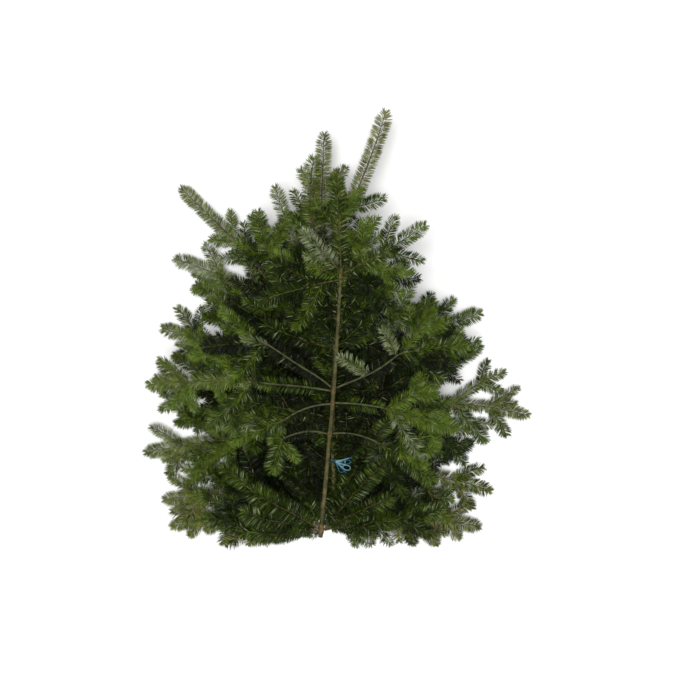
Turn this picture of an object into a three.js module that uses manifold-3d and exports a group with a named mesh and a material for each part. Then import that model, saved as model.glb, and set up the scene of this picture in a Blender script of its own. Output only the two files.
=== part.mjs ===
// A bunch of five cut Nordmann fir boughs, tied round their stems and lying on a floor.
//
// Each bough is a tapered stem with a flat cut, and side limbs that leave it in whorls, a year's growth
// apart. The needled growth of each limb is one solid: a twig that forks by the same rule at every year's
// node, with broad teeth along it that stand for its needles. The boughs lie on each other in five layers,
// which sink towards the floor at the sides, and their stems cross at the twine.
//
// Millimetres and degrees. X is to the right, Y runs from the cut ends to the tips, and Z is up. The
// floor is Z = 0, and the finished group's origin is on the floor under the middle of the bunch.

import * as THREE from "three";
import { mergeVertices } from "three/addons/utils/BufferGeometryUtils.js";
import Module from "manifold-3d";

const wasm = await Module();
wasm.setup();

// Where the twine holds the stems, as seen from above.
const TIE_X = -48;
const TIE_Y = 208;
const LOWEST_STEM_Z = 92;

// The twine: a band of a few turns, its knot and two loose ends.
const TWINE_THICK = 2.6;
const TWINE_WIDE = 7;
const TWINE_EASE = 1.08;
const TWINE_SLACK = 1.4;
const KNOT_HALF = 5.4;
const KNOT_SHAPE = [1.15, 1, 0.85];
const KNOT_ASIDE = 0.6;
const KNOT_ABOVE = 2;

// Each loose end of the twine: its direction over the floor plan, and how high it arches. It bends this
// far out, ends this far out and below the knot, and is this wide and thick.
const TWINE_ENDS = [
  [0.62, -0.78, 5],
  [0.97, 0.2, 9],
];
const TWINE_END = 52;
const TWINE_BEND = 22;
const TWINE_DROP = 6;
const TWINE_END_WIDE = 3.6;
const TWINE_END_THICK = 2;

// How far aside of the stems inside the twine the front one leans, as a share of their distance apart.
const FRONT_ASIDE = 0.88;

const TOUCH = 0.3;

// Stems lose this share of their butt's radius over the bough's whole length, and swell at each whorl.
const STEM_TAPER = 0.5;
const WHORL_SWELL = 1.22;
const WHORL_HALF = 13;
const STEM_SIDES = 8;
const STEM_STEP = 95;
const LEAST_STEM_STEP = 6;
const TIE_STATIONS = [-60, -14, 14, 60];
const LIMB_SIDES = 7;
const LIMB_BUTT = 2.9;
const LIMB_TIP = 2.5;

// The needled twigs: a blade, ridged along its top, with saw teeth at both edges that stand for needles.
const CORE_HALF = 3.6;
const RIDGE = 6.4;
const RIDGE_TIP_SHARE = 0.6;
const NOTCH_HALF = 9;
const TOOTH_HALF = 19;
const TOOTH_UP = 3;
const TOOTH_FORWARD = 5;
const TOOTH_STEP = 40;
const BLADE_END = 13;
const BARE_TWIG_STEP = 60;

// A side twig's root, which starts in the middle of its lead's ridge.
const ROOT_HALF = 2.2;
const ROOT_LOW = 1.2;
const ROOT_HIGH = 4;
const ROOT_BARE = 30;
const ROOT_APART = 7;

// The rule of growth: a pair of side twigs at each year's node, shorter the nearer they are to the tip.
const YEAR_GROWTH = 118;
const SIDE_ANGLE = 50;
const SIDE_BEND = -14;
const SIDE_SHARE = 0.6;
const SIDE_WIDE = 0.9;
const SIDE_EXTRA = 34;
const NODE_AT_END = 16;
const NODE_AT_STEM = 48;
const TILT = 0.16;
const ROLL = 24;
const LEAST_HEIGHT = 2;

// The foot of the bunch was trimmed at a slant, shorter at its top. No side twig reaches past the cut,
// which meets the floor at this line and slopes back by this much for each millimetre up.
const TRIM_Y = -150;
const TRIM_SLOPE = 0.6;

// A lead twig that leaves a stem is bare for this share of its length, up to this distance.
const BARE_SHARE = 0.2;
const BARE_MOST = 60;

// What a lead twig is raised by, in turn, until it clears the others. A side twig is shortened to the
// first share of its length and tilted by the second, in turn.
const LIFTS = [0, 8, -8, 16, -16, 24, -24, 32, -32, 40, -40];
const SIDE_TRIES = [
  [1, 0],
  [1, 0.14],
  [1, -0.14],
  [0.8, 0.08],
  [0.8, -0.08],
  [0.6, 0],
];

// Within how far a twig reaches its layer's height, from a cut end, from a stem, and as a bare limb.
const SETTLE_FROM_END = 60;
const SETTLE_FROM_STEM = 130;
const SETTLE_LIMB = 140;

// How far out from the tie a layer reaches its own height, how far the butts go towards it on their side
// of the tie, and how the layer then sinks to the sides.
const SETTLE = 320;
const BUTT_SETTLE = 0.35;
const SIDES_FROM = 120;
const SIDES_TO = 540;

// The unsupported tips hang lower than their layer, by this share of its height.
const TIPS_FROM = 680;
const TIPS_TO = 1180;
const TIPS_HANG = 0.32;

const BARK = new THREE.MeshStandardMaterial({ color: 0x6b5f3a, roughness: 0.8, metalness: 0 });
const TWIG_BARK = new THREE.MeshStandardMaterial({ color: 0x7d6a3c, roughness: 0.75, metalness: 0 });
const NEEDLES = new THREE.MeshStandardMaterial({ color: 0x3c5220, roughness: 0.55, metalness: 0 });
const TWINE = new THREE.MeshStandardMaterial({ color: 0x1f6f93, roughness: 0.4, metalness: 0 });

// One side limb's needled growth: where it leaves its stem, measured from the cut, and where its tip
// lies on the floor plan. turn is how far it bends on the way, to the right if positive. leader is the
// length of its unforked end, share makes its side twigs shorter or longer, and rise is how much higher
// it lies than its layer. elbow is where a bare limb ends and the needles start, with the bend of that
// limb. Without one, the needles start at the stem.
function side(name, at, x, y, shape) {
  const plain = { turn: 0, leader: YEAR_GROWTH, share: 1, rise: 0, elbow: null };
  return { ...plain, ...shape, name, at, tip: new THREE.Vector2(x, y) };
}

function bareTo(x, y, turn) {
  return { to: new THREE.Vector2(x, y), turn };
}

// The boughs from the floor up. stem is the length of the stem itself, and length that of the bough.
// tie is the distance from the cut end to the twine. from and to are the headings of the stem at its cut
// and at its end, with 0 along the bunch and right positive. middle and outer are the heights of the
// layer along the bunch's middle and at its sides.
const BOUGHS = [
  {
    name: "left",
    length: 1000,
    stem: 765,
    tie: 160,
    butt: 6.8,
    from: -13,
    to: -31,
    middle: 42,
    outer: 7,
    limbs: [
      side("low_left", 18, -564, 14, { turn: -8 }),
      side("side_left_1", 210, -608, 172, { turn: -10 }),
      side("side_left_2", 310, -588, 386, { turn: 10 }),
      side("side_left_3", 435, -533, 560, { turn: 10 }),
      side("side_left_4", 525, -428, 690, { turn: 8 }),
      side("top_left", 615, -482, 764, { turn: -14, leader: 140, share: 0.85 }),
      side("top_right", 630, -266, 886, { turn: -24 }),
      side("tip", 765, -454, 956, { turn: 2, leader: 190, share: 0.3 }),
    ],
  },
  {
    name: "right",
    length: 765,
    stem: 577,
    tie: 180,
    butt: 6.6,
    from: 10,
    to: 52,
    middle: 84,
    outer: 8,
    limbs: [
      side("base_left_1", 36, -548, -80, { turn: -6, leader: 90, share: 0.8 }),
      side("base_left_2", 16, -306, -82, { turn: -10, leader: 90, share: 0.45 }),
      side("low_right_1", 14, 272, -84, { turn: -6, share: 0.5 }),
      side("low_right_2", 38, 396, -78, { turn: 4, share: 0.85 }),
      side("low_right_3", 155, 424, 40, { turn: 10, rise: 8 }),
      side("side_right_1", 365, 524, 290, { turn: 10 }),
      side("side_right_2", 470, 338, 490, { turn: 8 }),
      side("tip", 577, 366, 610, { leader: 135, share: 0.8 }),
    ],
  },
  {
    name: "tall_left",
    length: 1085,
    stem: 845,
    tie: 190,
    butt: 7.2,
    from: -4,
    to: -1,
    middle: 126,
    outer: 58,
    limbs: [
      side("base_right", 16, 60, -70, { turn: 6, leader: 70, share: 0.5 }),
      side("low_left", 287, -386, 312, { turn: -6 }),
      side("side_left_1", 510, -322, 672, { turn: 8 }),
      side("side_right", 515, 278, 582, { turn: 12 }),
      side("side_left_2", 525, -242, 910, { turn: 30, share: 0.85 }),
      side("top_left", 707, -194, 974, { turn: 22, leader: 135, share: 0.55 }),
      side("tip_left", 765, -94, 1050, { turn: 22, leader: 150, share: 0.35, rise: 20 }),
      side("tip", 845, -67, 1107, { leader: 150, share: 0.6 }),
    ],
  },
  {
    name: "tall_right",
    length: 1160,
    stem: 875,
    tie: 175,
    butt: 7.2,
    from: -1,
    to: 8,
    middle: 170,
    outer: 96,
    limbs: [
      side("side_left_1", 305, -276, 398, { turn: -8 }),
      side("side_right_1", 310, 268, 318, { turn: 10 }),
      side("side_left_2", 520, -226, 622, { turn: 8 }),
      side("side_right_2", 525, 224, 678, { turn: -8 }),
      side("top_right", 682, 141, 789, { turn: -12, share: 0.7 }),
      side("tip", 875, 90, 1165, { turn: -10, leader: 240, share: 0.4 }),
    ],
  },
  {
    name: "front",
    length: 1068,
    stem: 816,
    tie: 236,
    butt: 6.9,
    from: 5.5,
    to: 2.5,
    middle: 222,
    outer: 140,
    limbs: [
      side("low_right_1", 26, 104, 344, { turn: -4, rise: -24 }),
      side("low_right_2", 18, 256, 72, { turn: 8, rise: -10 }),
      side("low_left_1", 28, -358, 194, { turn: -6, rise: -24 }),
      side("low_left_2", 18, -416, 32, { turn: 8, rise: -10 }),
      side("side_left_1", 321, -215, 203, {
        turn: -10,
        rise: 14,
        leader: 85,
        elbow: bareTo(-182, 302, -34),
      }),
      side("side_right_1", 324, 229, 174, { turn: 16, rise: 14, elbow: bareTo(78, 286, 26) }),
      side("side_left_2", 431, -262, 320, { rise: 2, leader: 80, elbow: bareTo(-176, 360, -36) }),
      side("side_right_2", 435, 290, 326, { turn: 6, rise: 2, elbow: bareTo(92, 398, 6) }),
      side("side_left_3", 474, -552, 436, { turn: -8, rise: -8, elbow: bareTo(-254, 472, -6) }),
      side("side_left_4", 480, -388, 564, { turn: -12, rise: 16, elbow: bareTo(-215, 588, -10) }),
      side("side_right_4", 482, 311, 566, { turn: 14, rise: 16, elbow: bareTo(126, 560, -16) }),
      side("top_left_1", 794, -199, 819, { turn: -8, rise: -6 }),
      side("top_left_2", 786, -227, 708, { turn: -8, rise: 8 }),
      side("top_left_3", 804, -119, 882, { turn: -6, rise: 16, share: 0.5 }),
      side("top_right_1", 798, 189, 894, { turn: -4, rise: 14, share: 0.8 }),
      side("top_right_2", 790, 175, 755, { turn: 4, rise: -6 }),
      side("tip", 816, -35, 1022, { leader: 130, share: 0.8 }),
    ],
  },
];

const radians = THREE.MathUtils.degToRad;
const mix = THREE.MathUtils.lerp;

function smooth(x) {
  return THREE.MathUtils.smoothstep(x, 0, 1);
}

// A number from 0 to 1 that depends only on its keys, so that no draw changes another.
function chance(...keys) {
  let h = 2166136261;
  for (const key of keys) {
    h = Math.imul(h ^ key, 16777619);
    h ^= h >>> 13;
    h = Math.imul(h, 1540483477);
    h ^= h >>> 15;
  }
  return (h >>> 0) / 4294967296;
}

function spread(amount, ...keys) {
  return amount * (2 * chance(...keys) - 1);
}

// The radius of a bough's stem at a distance from its cut, with the swellings at its whorls.
function stemRadius(bough, s) {
  const plain = bough.butt * (1 - STEM_TAPER * (s / bough.length));
  const nearest = Math.min(...bough.limbs.map((limb) => Math.abs(limb.at - s)));
  return plain * mix(WHORL_SWELL, 1, smooth(nearest / WHORL_HALF));
}

// The inside of the twine's band, which is round at its bottom and its top: its half width, and the
// heights of its lowest and highest points.
function bandInside() {
  const held = BOUGHS.filter((bough) => bough.name !== "front");
  const radii = held.map((bough) => stemRadius(bough, bough.tie));
  const half = Math.max(...radii) * TWINE_EASE + TWINE_SLACK;
  const bottom = held[0].tieZ - radii[0] - TOUCH;
  const top = held[held.length - 1].tieZ + radii[radii.length - 1] + TOUCH;
  return { half, bottom, top };
}

// Where the stems cross at the twine: four on each other inside it, and the front one leaning on the
// outside of its top.
function settleAtTie() {
  let z = LOWEST_STEM_Z;
  let below = 0;
  BOUGHS.forEach((bough, layer) => {
    const r = stemRadius(bough, bough.tie);
    bough.layer = layer;
    bough.tieX = TIE_X;
    if (bough.name === "front") {
      const band = bandInside();
      const apart = band.half + TWINE_THICK + 2 * TOUCH + r;
      bough.tieX = TIE_X - FRONT_ASIDE * apart;
      bough.tieZ = band.top - band.half + Math.sqrt(1 - FRONT_ASIDE ** 2) * apart;
      return;
    }
    z += layer ? below + r + TOUCH : 0;
    bough.tieZ = z;
    below = r;
  });
}

// The height of a layer over a point of the floor.
function layerHeight(bough, x, y) {
  const fromTie = Math.hypot(x - TIE_X, y - TIE_Y);
  const middle = mix(bough.tieZ, bough.middle, smooth(fromTie / SETTLE));
  const sideways = (Math.abs(x - TIE_X) - SIDES_FROM) / (SIDES_TO - SIDES_FROM);
  const hang = TIPS_HANG * smooth((y - TIPS_FROM) / (TIPS_TO - TIPS_FROM));
  return mix(middle, bough.outer, smooth(sideways)) * (1 - hang);
}

// The heading of a stem at a distance from its cut.
function heading(bough, s) {
  return mix(bough.from, bough.to, smooth(s / bough.length));
}

// The centreline of a bough's stem, laid out from the tie both ways in short steps.
function stemPath(bough) {
  const step = 5;
  const count = Math.ceil(bough.length / step) + 1;
  const atTie = Math.round(bough.tie / step);
  const xs = new Array(count).fill(bough.tieX);
  const ys = new Array(count).fill(TIE_Y);
  const move = (from, to) => {
    const angle = radians(heading(bough, step * (from + to) / 2));
    xs[to] = xs[from] + (to - from) * step * Math.sin(angle);
    ys[to] = ys[from] + (to - from) * step * Math.cos(angle);
  };
  for (let i = atTie + 1; i < count; i++) move(i - 1, i);
  for (let i = atTie - 1; i >= 0; i--) move(i + 1, i);
  return (s) => {
    const i = THREE.MathUtils.clamp(Math.floor(s / step), 0, count - 2);
    const x = mix(xs[i], xs[i + 1], s / step - i);
    const y = mix(ys[i], ys[i + 1], s / step - i);
    const below = mix(bough.tieZ, bough.middle, BUTT_SETTLE * smooth((bough.tie - s) / SETTLE));
    return new THREE.Vector3(x, y, s < bough.tie ? below : layerHeight(bough, x, y));
  };
}

// An arc over the floor from a start point, turning evenly from one heading. Its height leaves the
// start's own height, at `slope`, for that of the layer within `settle`. With `tilt` it keeps to the
// slopes of the layer instead, tilted by that much.
function arc(bough, start, from, turn, length, { settle, slope = 0, tilt = 0, lift = 0 }) {
  const a = radians(from);
  const bend = radians(Math.abs(turn) < 0.1 ? 0.1 : turn) / length;
  return (s) => {
    const x = start.x + (Math.cos(a) - Math.cos(a + bend * s)) / bend;
    const y = start.y + (Math.sin(a + bend * s) - Math.sin(a)) / bend;
    const share = smooth(s / settle);
    const layer = layerHeight(bough, x, y) + lift;
    const carried = start.z + layer - layerHeight(bough, start.x, start.y) - lift;
    const z = tilt ? carried + tilt * s : mix(start.z + slope * s, layer, share);
    return new THREE.Vector3(x, y, Math.max(z, LEAST_HEIGHT));
  };
}

// The directions along, to the right of and above a path at a distance along it.
function frameAt(path, s, length, roll = 0) {
  const reach = Math.min(2, length / 4);
  const a = path(Math.max(0, s - reach));
  const b = path(Math.min(length, s + reach));
  const along = b.sub(a).normalize();
  const right = along.clone().cross(new THREE.Vector3(0, 0, 1)).normalize();
  const above = right.clone().cross(along);
  if (roll) {
    right.applyAxisAngle(along, radians(roll));
    above.applyAxisAngle(along, radians(roll));
  }
  return { along, right, above, at: path(s) };
}

function place(frame, right, above, along = 0) {
  return frame.at
    .clone()
    .addScaledVector(frame.right, right)
    .addScaledVector(frame.above, above)
    .addScaledVector(frame.along, along);
}

// A closed geometry as a manifold-3d solid, and back.
function solidOf(geometry) {
  const bare = geometry.clone();
  bare.deleteAttribute("normal");
  bare.deleteAttribute("uv");
  const merged = mergeVertices(bare, 1e-4);
  return new wasm.Manifold(
    new wasm.Mesh({
      numProp: 3,
      vertProperties: new Float32Array(merged.getAttribute("position").array),
      triVerts: new Uint32Array(merged.index.array),
    }),
  );
}

function geometryOf(solid) {
  const mesh = solid.getMesh();
  const geometry = new THREE.BufferGeometry();
  geometry.setAttribute("position", new THREE.BufferAttribute(mesh.vertProperties, mesh.numProp));
  geometry.setIndex(new THREE.BufferAttribute(mesh.triVerts, 1));
  geometry.computeVertexNormals();
  return geometry;
}

// A tapered cylinder bent along a path, with a row of corners at each station.
function bentCylinder(path, length, stations, radius, sides) {
  const rows = stations.length - 1;
  const geometry = new THREE.CylinderGeometry(1, 1, rows, sides, rows);
  const corners = geometry.getAttribute("position");
  for (let i = 0; i < corners.count; i++) {
    const s = stations[Math.round(corners.getY(i) + rows / 2)];
    const r = radius(s);
    const point = place(frameAt(path, s, length), r * corners.getX(i), r * corners.getZ(i));
    corners.setXYZ(i, point.x, point.y, point.z);
  }
  return solidOf(geometry);
}

function stemSolid(bough) {
  const near = bough.limbs.filter((limb) => limb.at < bough.stem - WHORL_HALF).map((limb) => limb.at);
  const even = [];
  const count = Math.ceil(bough.stem / STEM_STEP);
  for (let i = 0; i <= count; i++) even.push((bough.stem * i) / count);
  const stations = [...even, ...near, ...TIE_STATIONS.map((apart) => bough.tie + apart)];
  near.forEach((at) => stations.push(at - WHORL_HALF, at + WHORL_HALF));
  const kept = stations
    .filter((s) => s >= 0 && s <= bough.stem)
    .sort((a, b) => a - b)
    .filter((s, i, all) => i === 0 || s - all[i - 1] > LEAST_STEM_STEP);
  kept[kept.length - 1] = bough.stem;
  return bentCylinder(bough.path, bough.stem, kept, (s) => stemRadius(bough, s), STEM_SIDES);
}

// A needled twig along a path: slim as far as `bare`, and from there on a blade with a saw tooth at each
// side of every step, leaning forward as the needles of a fir do. A rooted twig starts inside another.
function twigSolid(path, length, { roll, bare = 0, wide = 1, rooted = false }) {
  const bladeLength = length - bare - BLADE_END;
  const teeth = Math.max(1, Math.round(bladeLength / TOOTH_STEP));
  const plain = bare > 1 ? Math.ceil(bare / BARE_TWIG_STEP) : 0;
  const stations = [];
  for (let i = 0; i < plain; i++) stations.push((bare * i) / plain);
  for (let i = 0; i <= teeth; i++) stations.push(bare + (bladeLength * i) / teeth);
  const points = [];
  const faces = [];
  const corner = (point) => points.push(point.x, point.y, point.z) / 3 - 1;
  const rings = stations.map((s, i) => {
    const f = frameAt(path, s, length, roll);
    const half = i === 0 || s < bare ? CORE_HALF : wide * NOTCH_HALF;
    const sunk = rooted && i === 0;
    return {
      left: corner(place(f, sunk ? -ROOT_HALF : -half, sunk ? ROOT_LOW : 0)),
      right: corner(place(f, sunk ? ROOT_HALF : half, sunk ? ROOT_LOW : 0)),
      top: corner(place(f, 0, sunk ? ROOT_HIGH : RIDGE * mix(1, RIDGE_TIP_SHARE, s / length))),
    };
  });
  const end = corner(path(length));
  faces.push(rings[0].left, rings[0].right, rings[0].top);
  for (let i = 0; i < rings.length - 1; i++) {
    const near = rings[i];
    const far = rings[i + 1];
    faces.push(near.left, far.right, near.right);
    faces.push(near.left, far.left, far.right);
    faces.push(near.top, far.right, far.top);
    faces.push(near.top, far.top, far.left);
    if (i < plain) {
      faces.push(near.top, near.right, far.right);
      faces.push(near.top, far.left, near.left);
      continue;
    }
    const f = frameAt(path, Math.min(stations[i + 1] + TOOTH_FORWARD, length), length, roll);
    const rightTooth = corner(place(f, wide * TOOTH_HALF, TOOTH_UP));
    const leftTooth = corner(place(f, -wide * TOOTH_HALF, TOOTH_UP));
    faces.push(near.top, near.right, rightTooth);
    faces.push(near.top, rightTooth, far.right);
    faces.push(near.right, far.right, rightTooth);
    faces.push(near.top, leftTooth, near.left);
    faces.push(near.top, far.left, leftTooth);
    faces.push(near.left, leftTooth, far.left);
  }
  const last = rings[rings.length - 1];
  faces.push(last.top, last.right, end);
  faces.push(last.top, end, last.left);
  faces.push(last.left, end, last.right);
  const geometry = new THREE.BufferGeometry();
  geometry.setAttribute("position", new THREE.BufferAttribute(new Float32Array(points), 3));
  geometry.setIndex(faces);
  return solidOf(geometry);
}

// What has been built so far: each node with its separate pieces, before they are joined.
const built = new Map();

function addPiece(node, solid) {
  const { min, max } = solid.boundingBox();
  const box = new THREE.Box3(new THREE.Vector3(...min), new THREE.Vector3(...max));
  if (!built.has(node)) built.set(node, []);
  built.get(node).push({ solid, box });
}

// Whether a solid meets any piece of another node.
function meetsOthers(node, solid) {
  const { min, max } = solid.boundingBox();
  const box = new THREE.Box3(new THREE.Vector3(...min), new THREE.Vector3(...max));
  for (const [other, pieces] of built) {
    if (other === node) continue;
    for (const piece of pieces) {
      if (piece.box.intersectsBox(box) && piece.solid.intersect(solid).volume() > 0) return true;
    }
  }
  return false;
}

function towards(angle) {
  return new THREE.Vector3(Math.sin(radians(angle)), Math.cos(radians(angle)), 0);
}

// The heading and length of the arc that turns by `turn` on its way to a point of the floor plan.
function aim(start, target, turn) {
  const x = target.x - start.x;
  const y = target.y - start.y;
  const half = radians(Math.abs(turn) < 0.1 ? 0.1 : turn) / 2;
  const from = THREE.MathUtils.radToDeg(Math.atan2(x, y) - half);
  return { from, length: (Math.hypot(x, y) * half) / Math.sin(half) };
}

// The share of the stem's radius at which the search for a limb's start begins.
const SEARCH_FROM = 0.7;

// Where a limb or twig starts at the side of its stem. It is moved out from the stem's middle until what
// `make` builds from there clears the bark.
function besideStem(bough, limb, target, turn, make) {
  const centre = bough.path(limb.at);
  const { from } = aim(centre, target, turn);
  const slant = Math.sin(radians(Math.abs(from - heading(bough, limb.at))));
  const stem = built.get(`${bough.name}_stem`)[0].solid;
  let out = (SEARCH_FROM * stemRadius(bough, limb.at)) / slant;
  while (make(centre.clone().addScaledVector(towards(from), out)).intersect(stem).volume() > 0) {
    out += (0.5 * TOUCH) / slant;
  }
  return { start: centre.addScaledVector(towards(from), out + (0.8 * TOUCH) / slant), slope: 0 };
}

// Where a twig goes on from the end of a stem or limb, just clear of its cut end.
function beyondEnd(path, length, target, turn) {
  const end = frameAt(path, length, length);
  const slope = end.along.z / Math.hypot(end.along.x, end.along.y);
  const ahead = THREE.MathUtils.radToDeg(Math.atan2(end.along.x, end.along.y));
  const { from } = aim(end.at, target, turn);
  const gap = TOUCH + CORE_HALF * Math.abs(Math.sin(radians(from - ahead)));
  return { start: end.at.addScaledVector(end.along, gap), slope };
}

// A bare limb, and where its needled growth goes on from it.
function growLimb(bough, limb) {
  const { to, turn } = limb.elbow;
  const lay = (start) => {
    const { from, length } = aim(start, to, turn);
    const path = arc(bough, start, from, turn, length, { settle: SETTLE_LIMB, lift: limb.rise });
    return { path, length };
  };
  const make = (start) => {
    const { path, length } = lay(start);
    const stations = [0, 1, 2, 3, 4].map((i) => (length * i) / 4);
    const radius = (s) => mix(LIMB_BUTT, LIMB_TIP, s / length);
    return bentCylinder(path, length, stations, radius, LIMB_SIDES);
  };
  const { start } = besideStem(bough, limb, to, turn, make);
  addPiece(`${bough.name}_limb_${limb.name}`, make(start));
  const { path, length } = lay(start);
  return beyondEnd(path, length, limb.tip, limb.turn);
}

// The lead twig of a limb's needled growth. It is lifted or lowered until it clears the others.
function growLead(bough, limb, index) {
  const node = `${bough.name}_needles_${limb.name}`;
  const atEnd = limb.elbow || limb.name === "tip";
  const firstLift = limb.rise + spread(6, bough.layer, index, 1);
  const roll = spread(ROLL / 2, bough.layer, index, 2);
  const lay = (start, slope, lift) => {
    const { from, length } = aim(start, limb.tip, limb.turn);
    const settle = atEnd ? SETTLE_FROM_END : SETTLE_FROM_STEM;
    return { from, length, path: arc(bough, start, from, limb.turn, length, { settle, slope, lift }) };
  };
  const make = ({ path, length }) => {
    const bare = atEnd ? 0 : Math.min(BARE_MOST, BARE_SHARE * length);
    return twigSolid(path, length, { roll, bare });
  };
  let begin;
  if (limb.elbow) begin = growLimb(bough, limb);
  else if (atEnd) begin = beyondEnd(bough.path, bough.stem, limb.tip, limb.turn);
  else begin = besideStem(bough, limb, limb.tip, limb.turn, (start) => make(lay(start, 0, firstLift)));
  for (const lift of LIFTS) {
    const lead = lay(begin.start, begin.slope, firstLift + lift);
    const solid = make(lead);
    if (meetsOthers(node, solid)) continue;
    addPiece(node, solid);
    return { node, ...lead };
  }
  throw new Error(`${node} has no room`);
}

// The distances along the lead at which side twigs leave it, a year's growth or so apart.
function nodesAlong(limb, length) {
  const first = limb.elbow || limb.name === "tip" ? NODE_AT_END : NODE_AT_STEM;
  const forked = length - limb.leader - first;
  if (forked < YEAR_GROWTH / 3) return [first];
  const years = Math.max(1, Math.round(forked / YEAR_GROWTH));
  return Array.from({ length: years + 1 }, (_, year) => first + (forked * year) / years);
}

// The side twigs of a lead. One that meets another mass or limb, or reaches past the trimmed foot, is
// tilted, then shortened, then left out.
function growSides(bough, limb, index, lead) {
  nodesAlong(limb, lead.length).forEach((s, n) => {
    for (const hand of [-1, 1]) {
      const key = 10 * n + hand;
      const share = SIDE_SHARE * limb.share * (1 + spread(0.12, bough.layer, index, key, 3));
      const full = share * (lead.length - s) + SIDE_EXTRA;
      const from = lead.from + (limb.turn * s) / lead.length;
      const angle = SIDE_ANGLE + spread(6, bough.layer, index, key, 4);
      const tilt = spread(TILT, bough.layer, index, key, 5);
      const roll = spread(ROLL, bough.layer, index, key, 6);
      const start = lead.path(s + hand * ROOT_APART);
      for (const [shorter, tilted] of SIDE_TRIES) {
        const length = full * shorter;
        const path = arc(bough, start, from + hand * angle, hand * SIDE_BEND, length, {
          settle: length,
          tilt: tilt + tilted || 0.001,
        });
        const end = path(length);
        if (end.y < TRIM_Y + TRIM_SLOPE * end.z) continue;
        const solid = twigSolid(path, length, { roll, bare: ROOT_BARE, wide: SIDE_WIDE, rooted: true });
        if (meetsOthers(lead.node, solid)) continue;
        addPiece(lead.node, solid);
        break;
      }
    }
  });
}

// The twine: a band round the four stems that cross inside it, a knot on top and two loose ends.
function twineSolid() {
  const { half, bottom, top } = bandInside();
  const outline = (grow) => {
    const shape = new THREE.Shape();
    shape.absarc(0, top - half, half + grow, 0, Math.PI, false);
    shape.absarc(0, bottom + half, half + grow, Math.PI, 2 * Math.PI, false);
    shape.closePath();
    return shape;
  };
  const band = outline(TWINE_THICK);
  band.holes.push(outline(0));
  const ring = new THREE.ExtrudeGeometry(band, {
    depth: TWINE_WIDE,
    bevelEnabled: false,
    curveSegments: 8,
  });
  ring.rotateX(Math.PI / 2);
  ring.translate(TIE_X, TIE_Y + TWINE_WIDE / 2, 0);
  const knot = new THREE.Vector3(TIE_X + half * KNOT_ASIDE, TIE_Y, top + TWINE_THICK + KNOT_ABOVE);
  const ball = new THREE.SphereGeometry(KNOT_HALF, 9, 6);
  ball.scale(...KNOT_SHAPE);
  ball.translate(knot.x, knot.y, knot.z);
  let solid = solidOf(ring).add(solidOf(ball));
  const section = new THREE.Shape([
    new THREE.Vector2(-TWINE_END_THICK / 2, -TWINE_END_WIDE / 2),
    new THREE.Vector2(TWINE_END_THICK / 2, -TWINE_END_WIDE / 2),
    new THREE.Vector2(TWINE_END_THICK / 2, TWINE_END_WIDE / 2),
    new THREE.Vector2(-TWINE_END_THICK / 2, TWINE_END_WIDE / 2),
  ]);
  for (const [toX, toY, rise] of TWINE_ENDS) {
    const bend = new THREE.Vector3(knot.x + toX * TWINE_BEND, knot.y + toY * TWINE_BEND, knot.z + rise);
    const end = new THREE.Vector3(knot.x + toX * TWINE_END, knot.y + toY * TWINE_END, knot.z - TWINE_DROP);
    const curve = new THREE.QuadraticBezierCurve3(knot, bend, end);
    solid = solid.add(solidOf(new THREE.ExtrudeGeometry(section, { steps: 6, extrudePath: curve })));
  }
  return solid;
}

// Wider and higher than the whole bunch.
const ROOM = 4000;

// A node's pieces joined into one body, cut flat where it presses on the floor.
function joined(pieces) {
  const room = new THREE.BoxGeometry(ROOM, ROOM, ROOM);
  room.translate(0, 0, ROOM / 2);
  let solid = pieces[0].solid;
  for (const piece of pieces.slice(1)) solid = solid.add(piece.solid);
  if (solid.boundingBox().min[2] < 0) solid = solid.intersect(solidOf(room));
  const bodies = solid.decompose().sort((a, b) => b.volume() - a.volume());
  return bodies[0];
}

function materialOf(node) {
  if (node === "twine") return TWINE;
  if (node.endsWith("_stem")) return BARK;
  return node.includes("_limb_") ? TWIG_BARK : NEEDLES;
}

settleAtTie();
for (const bough of BOUGHS) {
  bough.path = stemPath(bough);
  addPiece(`${bough.name}_stem`, stemSolid(bough));
}
addPiece("twine", twineSolid());
const leads = [];
for (const bough of [...BOUGHS].reverse()) {
  bough.limbs.forEach((limb, index) => leads.push([bough, limb, index, growLead(bough, limb, index)]));
}
for (const [bough, limb, index, lead] of leads) growSides(bough, limb, index, lead);

const bunch = new THREE.Group();
const extent = new THREE.Box3();
for (const [node, pieces] of built) {
  const mesh = new THREE.Mesh(geometryOf(joined(pieces)), materialOf(node));
  mesh.name = node;
  bunch.add(mesh);
  extent.expandByObject(mesh);
}
const middle = extent.getCenter(new THREE.Vector3());
bunch.position.set(-middle.x, -middle.y, -extent.min.z);

export default bunch;
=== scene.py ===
# A bunch of five cut Nordmann fir boughs, tied round their stems with blue twine, lying on a pale floor.
#
# The boughs, their side limbs and their needled twigs follow the same rule of growth as the solids of the
# part, and are carried on here to the last year's shoots, each with its own needles and buds.
#
# Lengths are in millimetres in the frame of the growing rule: X to the right, Y from the cut ends to the
# tips, and Z up from the floor. They are turned into the part's own frame, in metres, as meshes are made.

import math
from dataclasses import dataclass

import bpy
import numpy as np
from mathutils import Matrix, Vector
from mathutils.bvhtree import BVHTree


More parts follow.
